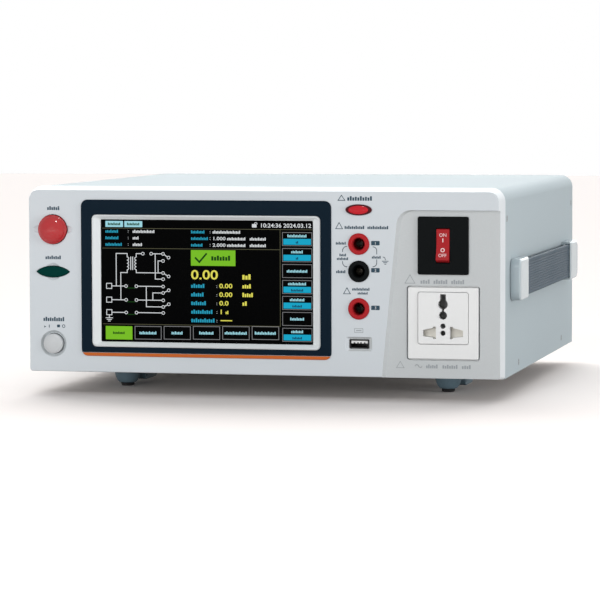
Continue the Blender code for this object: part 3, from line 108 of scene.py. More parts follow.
# %% World and floor
world_level, floor_glow = 0.31, 0.01


def maths(tree, operation, *given):
    """A Math node's result; each of its two inputs is given as a number or as another node's output."""
    node = tree.nodes.new("ShaderNodeMath")
    node.operation = operation
    for socket, value in zip(node.inputs, given):
        if isinstance(value, float):
            socket.default_value = value
        else:
            tree.links.new(value, socket)
    return node.outputs[0]


def seen_rays(tree):
    """One where a ray comes from the camera, a reflection or glass, and nought for the light on things."""
    path = tree.nodes.new("ShaderNodeLightPath").outputs
    either = maths(tree, "MAXIMUM", path["Is Camera Ray"], path["Is Glossy Ray"])
    return maths(tree, "MAXIMUM", either, path["Is Transmission Ray"])


def lit_two_ways(tree, felt, seen, out):
    """Sends out one shader for the light on things and another for the rays that are seen."""
    mix = tree.nodes.new("ShaderNodeMixShader")
    for socket, source in zip(mix.inputs, (seen_rays(tree), felt.outputs[0], seen.outputs[0])):
        tree.links.new(source, socket)
    tree.links.new(mix.outputs[0], out.inputs["Surface"])


def colour_node(tree, kind, colour, strength=None):
    """A plain shader node of one colour."""
    node = tree.nodes.new(kind)
    node.inputs["Color"].default_value = (*colour, 1)
    if strength:
        node.inputs["Strength"].default_value = strength
    return node


bpy.context.scene.view_settings.view_transform = "Standard"
world = bpy.context.scene.world or bpy.data.worlds.new("world")
bpy.context.scene.world = world
world.use_nodes = True
sky_tree = world.node_tree
sky_tree.nodes.clear()
lit_two_ways(sky_tree, colour_node(sky_tree, "ShaderNodeBackground", (0.93, 0.96, 1.0), world_level),
             colour_node(sky_tree, "ShaderNodeBackground", (1, 1, 1), 1.0),
             sky_tree.nodes.new("ShaderNodeOutputWorld"))


def floor_finish():
    """Matt pale paper. The camera sees it brighter, and the tester gets less of its light than it would."""
    made = bpy.data.materials.new("studio_floor")
    made.use_nodes = True
    tree = made.node_tree
    paper = tree.nodes["Principled BSDF"]
    paper.inputs["Base Color"].default_value = (0.975, 0.925, 0.900, 1)
    paper.inputs["Roughness"].default_value = 0.9
    paper.inputs["Specular IOR Level"].default_value = 0.0
    dim_paper = colour_node(tree, "ShaderNodeBsdfDiffuse", (0.46, 0.43, 0.42))
    glow = colour_node(tree, "ShaderNodeEmission", (1, 1, 1), floor_glow)
    both = tree.nodes.new("ShaderNodeAddShader")
    tree.links.new(paper.outputs[0], both.inputs[0])
    tree.links.new(glow.outputs[0], both.inputs[1])
    lit_two_ways(tree, dim_paper, both, tree.nodes["Material Output"])
    return made


def select_only(*pieces):
    """Operators act on all that is selected, so everything else is let go first."""
    for other in bpy.context.view_layer.objects:
        other.select_set(False)
    for piece in pieces:
        piece.select_set(True)
    bpy.context.view_layer.objects.active = pieces[0] if pieces else None


def mode(name):
    bpy.ops.object.mode_set(mode=name)


select_only()
bpy.ops.mesh.primitive_plane_add(size=9, location=(0, 0.6, -0.4 * mm))
floor = bpy.context.object
floor.name = "studio_floor"
floor.data.materials.append(floor_finish())
print("world", world_level, "floor", floor.dimensions[:2])

# %% [markdown]
# A soft, dark, warm shadow falls forward from the case, so the main light stands high and behind it. Two
# sun lamps with very wide discs give it: they light the top and the floor evenly, and the shadow's edge is
# soft. They leave the front dark, so a wide box far in front fills it and a low one lifts its foot. A box at
# the right lights the side with the handle. A small one, high in front, makes the highlights on the buttons
# and the lamp, and it is the only one that shows in reflections.

# %% Lamps
def turned_to(lamp, direction):
    lamp.rotation_euler = Vector(direction).to_track_quat("-Z", "Y").to_euler()


def high_lamp(name, direction, energy, angle):
    """A sun lamp with a wide disc: the same level all over the floor and a soft edge to its shadow."""
    light = bpy.data.lights.new(name, "SUN")
    light.energy = energy
    light.angle = math.radians(angle)
    light.color = (1.0, 0.995, 0.985)
    turned_to(in_scene(name, light), direction)


def soft_lamp(name, place, aim, width, height, power, mirrored=False):
    """A rectangular soft box that looks at a point; glossy pieces show it only where it is mirrored."""
    light = bpy.data.lights.new(name, "AREA")
    light.shape = "RECTANGLE"
    light.size = width
    light.size_y = height
    light.energy = power
    lamp = in_scene(name, light)
    lamp.visible_glossy = mirrored
    lamp.location = place
    turned_to(lamp, Vector(aim) - Vector(place))


high_lamp("high_left", (0.50, -1.20, -1), 1.98, 75)
high_lamp("high_middle", (0.05, -1.15, -1), 1.6, 85)
soft_lamp("front_fill", (-0.6, -2.4, 0.36), (0, 0, 0.07), 1.8, 0.7, 13.9)
soft_lamp("low_fill", (-0.45, -1.5, 0.10), (0, -0.17, 0.03), 0.8, 0.18, 4.9)
soft_lamp("right_box", (1.8, -0.7, 0.28), (0, 0, 0.07), 0.8, 0.5, 15.5)
soft_lamp("highlight_box", (0.05, -1.70, 1.20), (-0.1, -0.17, 0.1), 0.20, 0.20, 4.6, mirrored=True)
print("lamps", len(bpy.data.lights))

# %% [markdown]
# Moulded plastic is never quite smooth: its tool is spark-eroded, which leaves a fine even grain. Powder
# paint dries with a slow ripple like orange peel. Both are a noise in the object's own coordinates, in the
# height, the gloss and a little in the colour, so one node group makes both, with its own scale and depth in
# each material. A wide second noise stands for handling and uneven gloss.

# %% One shader group for every grained surface
def sockets(group, in_out, kind, names):
    for name in names:
        group.interface.new_socket(name=name, in_out=in_out, socket_type="NodeSocket" + kind)


def grain_group():
    group = bpy.data.node_groups.new("fine_grain", "ShaderNodeTree")
    sockets(group, "INPUT", "Float", ("Scale", "Depth", "Gloss spread", "Colour spread"))
    sockets(group, "INPUT", "Color", ("Colour",))
    sockets(group, "INPUT", "Float", ("Roughness",))
    sockets(group, "OUTPUT", "Color", ("Colour",))
    sockets(group, "OUTPUT", "Float", ("Roughness", "Height"))
    add, link = group.nodes.new, group.links.new
    given, result = add("NodeGroupInput").outputs, add("NodeGroupOutput").inputs
    where = add("ShaderNodeTexCoord").outputs["Object"]
    fine, wide = add("ShaderNodeTexNoise"), add("ShaderNodeTexNoise")
    fine.inputs["Detail"].default_value = 3.0
    wide.inputs["Scale"].default_value = 14.0
    wide.inputs["Detail"].default_value = 4.0
    link(where, fine.inputs["Vector"])
    link(where, wide.inputs["Vector"])
    link(given["Scale"], fine.inputs["Scale"])

    def spread_by(amount):
        """Both noises about their middle, each times an amount, and added."""
        about_nought = [maths(group, "SUBTRACT", noise.outputs["Fac"], 0.5) for noise in (fine, wide)]
        return maths(group, "ADD", *(maths(group, "MULTIPLY", one, given[amount]) for one in about_nought))

    rough = maths(group, "ADD", given["Roughness"], spread_by("Gloss spread"))
    rough.node.use_clamp = True
    link(rough, result["Roughness"])
    tinted = add("ShaderNodeVectorMath")
    tinted.operation = "SCALE"
    link(given["Colour"], tinted.inputs[0])
    link(maths(group, "ADD", spread_by("Colour spread"), 1.0), tinted.inputs["Scale"])
    link(tinted.outputs["Vector"], result["Colour"])
    link(maths(group, "MULTIPLY", fine.outputs["Fac"], given["Depth"]), result["Height"])
    return group


fine_grain = grain_group()
print("group sockets", [s.name for s in fine_grain.interface.items_tree])

# %% [markdown]
# Each finish is one material, named for what it is on the tester. The colours are read from the
# photograph and written as they would look under plain light: a light grey front, a cooler painted cover, a
# deep navy screen surround, an orange line, slate feet and a blue-grey strap. A grain has its scale, its
# depth, its share in the gloss and in the colour, and its height in millimetres.

# %% Finishes of the case, its plastics and the inks
def grained(name, colour, roughness, grain, specular=0.5, metal=0.0):
    """A surface with a fine grain."""
    scale, depth, gloss, spread, relief = grain
    made = bpy.data.materials.new(name)
    made.use_nodes = True
    tree = made.node_tree
    shader = tree.nodes["Principled BSDF"]
    group = tree.nodes.new("ShaderNodeGroup")
    group.node_tree = fine_grain
    bump = tree.nodes.new("ShaderNodeBump")
    for node, socket, value in (
            (group, "Scale", scale), (group, "Depth", depth), (group, "Gloss spread", gloss),
            (group, "Colour spread", spread), (group, "Colour", (*colour, 1)),
            (group, "Roughness", roughness), (shader, "Metallic", metal),
            (shader, "Specular IOR Level", specular), (bump, "Distance", relief * mm)):
        node.inputs[socket].default_value = value
    for node, output, taker, socket in (
            (group, "Colour", shader, "Base Color"), (group, "Roughness", shader, "Roughness"),
            (group, "Height", bump, "Height"), (bump, "Normal", shader, "Normal")):
        tree.links.new(node.outputs[output], taker.inputs[socket])
    return made


moulded = (1700, 0.8, 0.1, 0.05, 0.04)
inked = (2600, 0.3, 0.08, 0.1, 0.01)
polished = (900, 0.2, 0.06, 0.05, 0.01)
metallic = (700, 0.4, 0.14, 0.08, 0.01)
clear = (700, 0.3, 0.06, 0.1, 0.01)
# each row: name, colour, roughness, grain, and if they differ from plastic's, specular level and metal
finish_table = (
    ("moulded_grey", (0.56, 0.6, 0.628), 0.46, moulded, 0.3),
    ("cover_grey", (0.396, 0.464, 0.492), 0.62, (620, 0.9, 0.1, 0.04, 0.08), 0.15),
    ("field_grey", (0.49, 0.515, 0.522), 0.55, (900, 1.0, 0.12, 0.08, 0.06), 0.3),
    ("zinc_sheet", (0.34, 0.34, 0.33), 0.36, (260, 0.5, 0.22, 0.16, 0.02), 0.5, 1.0),
    ("navy", (0.003, 0.01, 0.0185), 0.36, (2600, 0.5, 0.1, 0.1, 0.01), 0.05),
    ("orange", (0.5, 0.115, 0.022), 0.38, (2600, 0.5, 0.08, 0.06, 0.01), 0.15),
    # painted shade: a darker grey for the hollow dish round the power button
    ("dish_painted_shade", (0.46, 0.495, 0.51), 0.5, moulded, 0.2),
    ("frame_grey", (0.68, 0.71, 0.72), 0.38, (1700, 0.6, 0.1, 0.05, 0.04), 0.4),
    ("dome_red", (0.41, 0.014, 0.018), 0.1, (900, 0.1, 0.04, 0.04, 0.004), 0.45),
    ("red_plastic", (0.37, 0.016, 0.02), 0.3, polished, 0.1),
    ("rocker_red", (0.34, 0.014, 0.018), 0.34, polished, 0.14),
    ("green_plastic", (0.0003, 0.032, 0.026), 0.34, (1500, 0.4, 0.08, 0.06, 0.01), 0.03),
    ("black_plastic", (0.0035, 0.0045, 0.005), 0.42, (1500, 0.8, 0.14, 0.2, 0.04), 0.05),
    ("white_plastic", (0.715, 0.725, 0.722), 0.33, (1300, 0.3, 0.08, 0.03, 0.01)),
    ("cream_plastic", (0.64, 0.62, 0.56), 0.45, (1300, 0.4, 0.1, 0.05, 0.02)),
    ("strap_blue", (0.03, 0.056, 0.08), 0.55, (1100, 1.0, 0.16, 0.14, 0.06), 0.12),
    ("slate_plastic", (0.12, 0.18, 0.218), 0.48, (1500, 0.8, 0.12, 0.1, 0.04), 0.3),
    ("rubber_black", (0.014, 0.014, 0.015), 0.68, (1100, 1.0, 0.12, 0.2, 0.06)),
    ("steel", (0.56, 0.56, 0.57), 0.24, metallic, 0.5, 1.0),
    ("board_green", (0.01, 0.11, 0.045), 0.4, (400, 0.5, 0.12, 0.16, 0.03)),
    ("lamp_red", (0.48, 0.006, 0.014), 0.1, clear, 0.22),
    # painted shade: a dark red for the lens's outer ring, standing for the gap round it
    ("lamp_edge_painted_shade", (0.06, 0.004, 0.007), 0.3, clear, 0.15),
    ("button_white", (0.5, 0.52, 0.53), 0.34, (1500, 0.4, 0.08, 0.04, 0.01)),
    ("screen_glass", (0.0008, 0.0009, 0.001), 0.15, (90, 0.1, 0.04, 0.2, 0.002), 0.01),
    # painted light: a lighter grey for the front's rim faces that turn to the side and up
    ("rim_painted_light", (0.7, 0.738, 0.762), 0.42, moulded, 0.3),
    ("cap_grey", (0.43, 0.5, 0.53), 0.24, (1700, 0.6, 0.08, 0.05, 0.02), 0.45),
    ("dull_zinc", (0.2, 0.21, 0.22), 0.45, metallic, 0.5, 0.8),
    ("slot_steel", (0.045, 0.045, 0.048), 0.45, metallic, 0.2, 0.6),
    ("winding_tape", (0.42, 0.23, 0.05), 0.42, (500, 0.5, 0.12, 0.12, 0.02)),
    ("contact_metal", (0.16, 0.15, 0.13), 0.34, (700, 0.4, 0.14, 0.1, 0.01), 0.5, 1.0),
    ("print_ink", (0.03, 0.06, 0.085), 0.55, inked, 0.2),
    ("faint_ink", (0.29, 0.315, 0.33), 0.6, inked, 0.2),
    ("pale_ink", (0.64, 0.66, 0.67), 0.55, inked, 0.2),
    ("rocker_ink", (0.78, 0.64, 0.64), 0.5, inked, 0.2),
)
finish = {row[0]: grained(*row) for row in finish_table}
print("finishes", len(finish))

# %% [markdown]
# The pieces from the frame have the right shapes, but they arrive as loose triangles with knife-sharp edges.
# A real edge of a moulding or a folded sheet always has a small radius that catches a line of light. So each
# piece is copied, its doubles are merged, its flat faces are made whole again, its sharp edges get a small
# bevel, and it is smoothed by angle. The copy then stands for the frame's piece and rides on the same body.
# A Weighted Normal keeps the wide faces flat: without it the roundings would pull their shading round too.

# %% Dressing a piece of the frame
merge_within = 0.002 * mm
flat_within, smooth_below, bevel_above = math.radians(0.4), math.radians(32), math.radians(38)
edge_segments = 2
flat_weight = 80


def dressed(node, surface, edge=0.0):
    """A merged copy of a frame piece with soft edges, in its finish; the edge's width is in millimetres."""
    piece = in_scene(node + "_skin", nodes[node].data.copy())
    select_only(piece)
    mode("EDIT")
    bpy.ops.mesh.select_all(action="SELECT")
    bpy.ops.mesh.remove_doubles(threshold=merge_within)
    bpy.ops.mesh.dissolve_limited(angle_limit=flat_within)
    mode("OBJECT")
    if edge:
        soft = piece.modifiers.new("soft edges", "BEVEL")
        soft.width = edge * mm
        soft.segments = edge_segments
        soft.limit_method = "ANGLE"
        soft.angle_limit = bevel_above
        soft.use_clamp_overlap = True
        bpy.ops.object.modifier_apply(modifier=soft.name)
    bpy.ops.object.shade_smooth_by_angle(angle=smooth_below)
    flat = piece.modifiers.new("flat faces stay flat", "WEIGHTED_NORMAL")
    flat.keep_sharp = True
    flat.weight = flat_weight
    bpy.ops.object.modifier_apply(modifier=flat.name)
    piece.data.materials.clear()
    piece.data.materials.append(finish[surface])
    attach(piece, body_of[node])
    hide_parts(node)
    return piece


print("edges of", edge_segments, "segments")

# %% [markdown]
# The plan gives each piece of the frame its finish and, where it is to be soft, the width of its edge.

# %% The finish of each piece
plan = (
    ("front_bezel", "moulded_grey", 0.25), ("case_cover", "cover_grey"), ("rear_panel", "cover_grey", 0.2),
    ("chassis", "zinc_sheet"), ("display_surround", "navy"), ("accent_stripe", "orange"),
    ("screen_frame", "frame_grey"), ("screen_panel", "screen_glass"), ("stop_button", "dome_red"),
    ("start_button", "green_plastic"), ("power_button", "button_white"), ("danger_lamp", "lamp_red"),
    ("stop_switch", "black_plastic"), ("start_switch", "black_plastic"), ("power_switch", "black_plastic"),
    ("jack_red_upper", "red_plastic"), ("jack_black", "black_plastic"), ("jack_red_lower", "red_plastic"),
    ("contact_red_upper", "contact_metal"), ("contact_black", "contact_metal"),
    ("contact_red_lower", "contact_metal"), ("port_shell", "slot_steel", 0.08),
    ("port_tongue", "white_plastic", 0.1), ("switch_body", "black_plastic"), ("rocker", "rocker_red", 0.2),
    ("outlet_body", "white_plastic"), ("outlet_insert", "white_plastic", 0.15),
    ("outlet_shutter", "cream_plastic", 0.2), ("fan_frame", "black_plastic", 0.3),
    ("fan_rotor", "black_plastic", 0.1), ("fan_guard", "steel"), ("supply_inlet", "black_plastic", 0.2),
    ("line_inlet", "black_plastic", 0.2), ("fuse_drawer", "black_plastic", 0.3),
    ("serial_port", "steel", 0.15), ("device_port", "steel", 0.1), ("earth_post", "steel", 0.2),
    ("handle_cap_front", "cap_grey", 0.2), ("handle_cap_rear", "cap_grey", 0.2),
    ("handle_strap", "strap_blue"),
    *((f"{kind}_{place}", surface, edge) for kind, surface, edge in
      (("foot", "slate_plastic", 0.2), ("pad", "rubber_black", 0.0))
      for place in ("front_left", "front_right", "rear_left", "rear_right")),
    ("tilt_leg_left", "slate_plastic", 0.3), ("tilt_leg_right", "slate_plastic", 0.3),
    ("main_board", "board_green", 0.2), ("transformer", "zinc_sheet", 0.4),
)
skin = {row[0]: dressed(*row) for row in plan}
print("dressed", len(skin), "pieces")

# %% [markdown]
# Some pieces wear a second finish, on the faces that a test picks by their place and their direction. The
# front's rim, where it turns to the side and up, gets painted light: a lighter grey than its face. The field
# round the outlet has a coarser, duller spark finish, and the power button's dish gets painted shade: a
# darker grey.

# %% Second finishes of the front
def second_finish(node, surface, chosen):
    """Gives the faces that a test picks another finish."""
    mesh = skin[node].data
    mesh.materials.append(finish[surface])
    picked = [face for face in mesh.polygons if chosen(face.center, face.normal)]
    for face in picked:
        face.material_index = len(mesh.materials) - 1
    print(node, len(picked), "faces in", surface)


def ends(node):
    """The low corner, the high corner and the middle of a piece of the frame."""
    low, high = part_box(node)
    return low, high, (low + high) / 2


case_low, case_high, case_middle = ends("front_bezel")
field_depth, field_width, field_foot, field_head = 2.6 * mm, 99.0 * mm, 2.0 * mm, 13.0 * mm
face_end, floor_end = case_low.y + 0.7 * mm, case_low.y + field_depth + 0.2 * mm
rim_width, rim_turn = 4.0 * mm, -0.75
dish_x, dish_z, dish_hole, dish_edge = case_low.x + 19.5 * mm, case_low.z + 20.0 * mm, 6.6 * mm, 9.3 * mm
facing_us = -0.2
second_finish("front_bezel", "field_grey", lambda at, normal: (
    normal.y < facing_us and face_end < at.y < floor_end and at.x > case_high.x - field_width
    and case_low.z + field_foot < at.z < case_high.z - field_head))
# painted light: the rim faces that turn to the side and up get a lighter grey than the front's face
second_finish("front_bezel", "rim_painted_light", lambda at, normal: (
    normal.y > rim_turn and min(case_high.x - at.x, at.x - case_low.x, case_high.z - at.z) < rim_width))
# painted shade: the dish round the power button is made darker, as shade in the hollow
second_finish("front_bezel", "dish_painted_shade", lambda at, normal: (
    normal.y < facing_us and dish_hole < math.hypot(at.x - dish_x, at.z - dish_z) < dish_edge
    and at.y > case_low.y + 0.1 * mm))

# %% [markdown]
# The inlets' blades, the transformer's windings and the device port's dark insert are picked in the same
# way, and so is the lamp's outer ring, which gets painted shade: a dark red that stands for the gap round
# the lens.

# %% Second finishes of the connectors, the transformer and the lamp
blade_apart, blade_raised = 7.0 * mm, 2.0 * mm
blade_half_width, blade_half_height, blade_depth = 1.05 * mm, 2.05 * mm, 8.5 * mm
for name, height in (("supply_inlet", 85.0), ("line_inlet", 40.0)):
    low, _, middle = ends(name)
    blades_z = case_low.z + height * mm
    second_finish(name, "steel", lambda at, normal: at.y > low.y + blade_depth and any(
        abs(at.x - middle.x - side * blade_apart) < blade_half_width
        and abs(at.z - blades_z + (blade_raised if side else -blade_raised)) < blade_half_height
        for side in (-1, 0, 1)))

insert_half_width, insert_half_height = 3.0 * mm, 1.8 * mm
port_middle = ends("device_port")[2]
second_finish("device_port", "black_plastic", lambda at, normal: (
    abs(at.x - port_middle.x) < insert_half_width and abs(at.z - port_middle.z) < insert_half_height))

winding_end = 7.9 * mm
coil_low, coil_high, _ = ends("transformer")
second_finish("transformer", "winding_tape", lambda at, normal: not (
    coil_low.y + winding_end < at.y < coil_high.y - winding_end))

lens_share = 0.76
_, lamp_high, lamp_middle = ends("danger_lamp")
lamp_half = lamp_high - lamp_middle
# painted shade: the lens's outer ring is made dark red, as shade in the gap round it
second_finish("danger_lamp", "lamp_edge_painted_shade", lambda at, normal: math.hypot(
    (at.x - lamp_middle.x) / lamp_half.x, (at.z - lamp_middle.z) / lamp_half.z) > lens_share)

# %% [markdown]
# Printed marks and the picture on the screen are flat shapes on a plane that faces the front. Drawn as an
# image they would blur up close, so each is a thin solid: planes, rings and bars are added one after another
# in edit mode, all of one colour in one piece, and a Solidify gives them the thickness of ink. Places are in
# millimetres from the plane's left and its base.

# %% Drawing flat marks
ink = 0.04 * mm
block_shape, block_share, fewest_blocks = 0.55, 0.74, 2
block_heights = (0.72, 1.0, 0.72, 0.86)
upright = math.pi / 2
corner_steps, ring_sides = 3, 24


def let_go():
    """Lets the earlier patches go, so that what follows moves the new one only."""
    bpy.ops.mesh.select_all(action="DESELECT")


class Marks:
    """Flat marks of one colour on one plane; opened in edit mode, filled, then closed."""

    def __init__(self, name, plane):
        self.left, self.base, self.front = plane
        self.piece = in_scene(name, bpy.data.meshes.new(name))
        select_only(self.piece)
        mode("EDIT")

    def at(self, x, z):
        return (self.left + x * mm, self.front, self.base + z * mm)

    def patch(self, width, height, centre, turn=0.0, corner=0.0):
        """A rectangle with a middle, a turn and a rounding of its corners."""
        let_go()
        bpy.ops.mesh.primitive_plane_add(size=mm, rotation=(upright, 0, 0))
        bpy.ops.transform.resize(value=(width, 1, height), center_override=(0, 0, 0))
        if corner:
            bpy.ops.mesh.bevel(offset=corner * mm, segments=corner_steps, affect="VERTICES")
        if turn:
            bpy.ops.transform.rotate(value=turn, orient_axis="Y", center_override=(0, 0, 0))
        bpy.ops.transform.translate(value=self.at(*centre))

    def box(self, x1, z1, x2, z2, corner=0.0):
        self.patch(x2 - x1, z2 - z1, ((x1 + x2) / 2, (z1 + z2) / 2), corner=corner)

    def bars(self, width, *strokes):
        """Straight strokes, each between two points."""
        for x1, z1, x2, z2 in strokes:
            self.patch(math.hypot(x2 - x1, z2 - z1) + width, width, ((x1 + x2) / 2, (z1 + z2) / 2),
                       math.atan2(z2 - z1, x2 - x1))

    def frame(self, x1, z1, x2, z2, width):
        """The outline of a box, as four strokes."""
        half = width / 2
        self.box(x1, z1, x2, z1 + width)
        self.box(x1, z2 - width, x2, z2)
        self.box(x1, z1 + half, x1 + width, z2 - half)
        self.box(x2 - width, z1 + half, x2, z2 - half)

    def ring(self, x, z, radius=0.95, width=0.45):
        """A flat ring: an open circle, whose edge is extruded and drawn inwards."""
        let_go()
        outer = radius + width / 2
        inner = (radius - width / 2) / outer
        bpy.ops.mesh.primitive_circle_add(vertices=ring_sides, radius=outer * mm, fill_type="NOTHING",
                                          rotation=(upright, 0, 0))
        bpy.ops.mesh.extrude_region_move()
        bpy.ops.transform.resize(value=(inner, 1, inner), center_override=(0, 0, 0))
        bpy.ops.mesh.select_linked()
        bpy.ops.transform.translate(value=self.at(x, z))

    def disc(self, x, z, radius, sides, turn):
        """A filled shape with equal sides."""
        let_go()
        bpy.ops.mesh.primitive_circle_add(vertices=sides, radius=radius * mm, fill_type="NGON",
                                          rotation=(upright, turn, 0), location=self.at(x, z))

    def arc(self, x, z, radius, start, end, width, strokes):
        """Part of a ring, as short strokes; angles in degrees."""
        turns = [math.radians(start + (end - start) * i / strokes) for i in range(strokes + 1)]
        points = [(x + radius * math.cos(t), z + radius * math.sin(t)) for t in turns]
        self.bars(width, *(one + two for one, two in zip(points, points[1:])))

    def words(self, *places):
        """Stand-ins for printed words, each with its left, its base, its width and its height."""
        for x, z, width, height in places:
            count = max(fewest_blocks, round(width / height / block_shape))
            pitch = width / count
            for i in range(count):
                tall = height * block_heights[(i * 7 + count) % 4]
                self.box(x + i * pitch, z, x + (i + block_share) * pitch, z + tall)

    def done(self, surface, body="instrument"):
        """Turns every patch to the front and gives the ink its thickness."""
        let_go()
        mode("OBJECT")
        for polygon in self.piece.data.polygons:
            polygon.select = polygon.normal.y > 0
        mode("EDIT")
        bpy.ops.mesh.flip_normals()
        mode("OBJECT")
        thick = self.piece.modifiers.new("ink", "SOLIDIFY")
        thick.thickness = ink
        thick.offset = 1
        bpy.ops.object.modifier_apply(modifier=thick.name)
        self.piece.data.materials.append(surface)
        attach(self.piece, body)
        print(self.piece.name, len(self.piece.data.polygons), "faces")
        return self.piece


print("marks are", ink / mm, "mm thick")

# %% [markdown]
# Plain numbers are real type: a text object, made a thin mesh. A font's size also counts the room above and
# below the figures, so it is set from the height that they should have.

# %% Writing plain numbers
figure_share = 0.72
curve_steps = 3


def figures(name, text, x, z, height, plane, surface, body="instrument", align="LEFT", wide=1.0, bold=0.0):
    """Plain numbers on a plane; wide stretches them and bold swells their strokes."""
    left, base, front = plane
    select_only()
    bpy.ops.object.text_add(rotation=(upright, 0, 0))
    piece = bpy.context.object
    piece.name = name
    piece.data.body = text
    piece.data.size = height * mm / figure_share
    piece.data.align_x = align
    piece.data.resolution_u = curve_steps
    piece.data.extrude = ink / 2
    piece.data.offset = bold * mm
    bpy.ops.object.convert(target="MESH")
    piece.scale.x = wide
    piece.location = (left + x * mm, front - ink / 2, base + z * mm)
    bpy.ops.object.transform_apply()
    piece.data.materials.clear()
    piece.data.materials.append(surface)
    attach(piece, body)
    return piece


print("figures take", figure_share, "of their font's size")

# %% [markdown]
# The picture on the screen makes its own light, in flat colours, through a fine grid of pixels. The grid is
# two sets of bands, one per row and one per column of pixels, and it dims the light a little between them;
# from a metre away it only softens the colours, as on the real screen.

# %% Light of the screen
pixel_pitch = 0.19 * mm
between_pixels, on_pixels = 0.80, 1.10
screen_light = 0.9


def pixel_group():
    group = bpy.data.node_groups.new("pixel_grid", "ShaderNodeTree")
    sockets(group, "INPUT", "Color", ("Colour",))
    sockets(group, "OUTPUT", "Color", ("Colour",))
    add, link = group.nodes.new, group.links.new
    given, result = add("NodeGroupInput").outputs, add("NodeGroupOutput").inputs
    where = add("ShaderNodeTexCoord").outputs["Object"]

    def dimmed_along(direction):
        """Bright on a pixel and darker between two. At scale 1 the node's bands are pi / 10 apart."""
        bands = add("ShaderNodeTexWave")
        bands.bands_direction = direction
        bands.inputs["Scale"].default_value = math.pi / 10 / pixel_pitch
        link(where, bands.inputs["Vector"])
        limits = add("ShaderNodeMapRange")
        limits.inputs["To Min"].default_value = between_pixels
        limits.inputs["To Max"].default_value = on_pixels
        link(bands.outputs["Fac"], limits.inputs["Value"])
        return limits.outputs[0]

    dimmed = add("ShaderNodeVectorMath")
    dimmed.operation = "SCALE"
    link(given["Colour"], dimmed.inputs[0])
    link(maths(group, "MULTIPLY", dimmed_along("X"), dimmed_along("Z")), dimmed.inputs["Scale"])
    link(dimmed.outputs["Vector"], result["Colour"])
    return group


pixel_grid = pixel_group()


def lit(name, colour):
    """A lit part of the screen: nearly black itself, with light of one colour."""
    made = bpy.data.materials.new("screen_" + name)
    made.use_nodes = True
    tree = made.node_tree
    shader = tree.nodes["Principled BSDF"].inputs
    shader["Base Color"].default_value = (0.001, 0.001, 0.001, 1)
    shader["Roughness"].default_value = 0.25
    shader["Specular IOR Level"].default_value = 0.05
    shader["Emission Strength"].default_value = screen_light
    grid = tree.nodes.new("ShaderNodeGroup")
    grid.node_tree = pixel_grid
    grid.inputs["Colour"].default_value = (*colour, 1)
    tree.links.new(grid.outputs["Colour"], shader["Emission Color"])
    return made


glow = {name: lit(name, colour) for name, colour in (
    ("cyan", (0.02, 0.38, 0.56)), ("sky", (0.4, 0.8, 0.9)), ("blue", (0.006, 0.44, 0.68)),
    ("white", (0.8, 0.83, 0.85)), ("green", (0.22, 0.6, 0.02)), ("dark_green", (0.005, 0.06, 0.004)),
    ("yellow", (0.9, 0.85, 0.12)), ("grey", (0.26, 0.26, 0.27)), ("olive", (0.13, 0.125, 0.07)),
    ("deep_blue", (0.004, 0.06, 0.13)))}
print("lit colours", len(glow))

# %% [markdown]
# The picture has a line of states at the top, two lines of settings, a wiring sketch on the left, the result
# with its readings in the middle, and keys along the right and the foot. Lines, fills and boxes come first.
# The keys on the right are evenly spaced, and those at the foot rise a little to the right.

# %% Boxes of the screen
glass_low, _, glass_middle = ends("screen_panel")
lit_width, lit_height = 148.5, 83.4
screen_left = glass_middle.x - lit_width / 2 * mm
screen_base = glass_middle.z - lit_height / 2 * mm
screen_front = glass_low.y - 0.02 * mm
layer = 0.06 * mm
keys_left, keys_right, key_height, key_margin, value_room = 126.9, 147.5, 9.2, 0.8, 4.4
keys_middle = (keys_left + keys_right) / 2
keys = [75.6 - 10.75 * i for i in range(7)]
has_value = (1, 1, 0, 1, 1, 0, 1)
foot_keys = [2.9 + 20.55 * i for i in range(6)]
foot_width, foot_height, foot_base, foot_rise = 18.9, 9.1, 1.5, 0.27
rows = [37.4 - 5.85 * i for i in range(5)]
header_rows = [74.3 - 4.45 * i for i in range(3)]


def screen_marks(name, level=0):
    return Marks("screen_" + name, (screen_left, screen_base, screen_front - level * layer))


grey = screen_marks("outlines")
for top in keys:
    grey.frame(keys_left, top - key_height, keys_right, top, 0.35)
for i, left in enumerate(foot_keys[1:], start=1):
    low = foot_base + foot_rise * i
    grey.frame(left, low, left + foot_width, low + foot_height, 0.40)
grey.done(glow["grey"])

olive = screen_marks("rules")
for rule in ((0.9, 77.2, 147.6, 77.5), (0.9, 63.6, 125.4, 63.9), (0.9, 11.9, 125.4, 12.2),
             (125.3, 11.9, 125.6, 77.2)):
    olive.box(*rule)
olive.done(glow["olive"])

blue = screen_marks("key_fills")
for top, full in zip(keys, has_value):
    if full:
        blue.box(keys_left + key_margin, top - key_height + key_margin, keys_right - key_margin,
                 top - value_room, 0.2)
blue.done(glow["blue"])

sky = screen_marks("tags")
sky.box(3.2, 78.2, 15.6, 82.3)
sky.box(16.6, 78.2, 29.2, 82.3)
sky.done(glow["sky"])

green = screen_marks("result_box")
green.box(63.3, 52.4, 94.4, 63.0)
green.box(foot_keys[0], foot_base, foot_keys[0] + foot_width, foot_base + foot_height)
green.done(glow["green"])

# %% [markdown]
# The words come next, one piece for each colour, because a piece of ink has one material. Those on a fill
# lie one layer nearer to the eye.

# %% Words of the screen
value_drop, name_drop, lone_drop = 7.6, 3.4, 5.6
over_fill = 1
dark = screen_marks("result_marks", over_fill)
dark.bars(1.2, (66.6, 57.6, 69.2, 54.9), (69.2, 54.9, 74.0, 60.4))
dark.words((77.6, 56.0, 13.6, 3.4), (foot_keys[0] + 5.2, 5.2, 8.4, 1.7), (4.9, 79.4, 9.0, 1.8),
           (18.4, 79.4, 9.0, 1.8))
dark.done(glow["dark_green"])

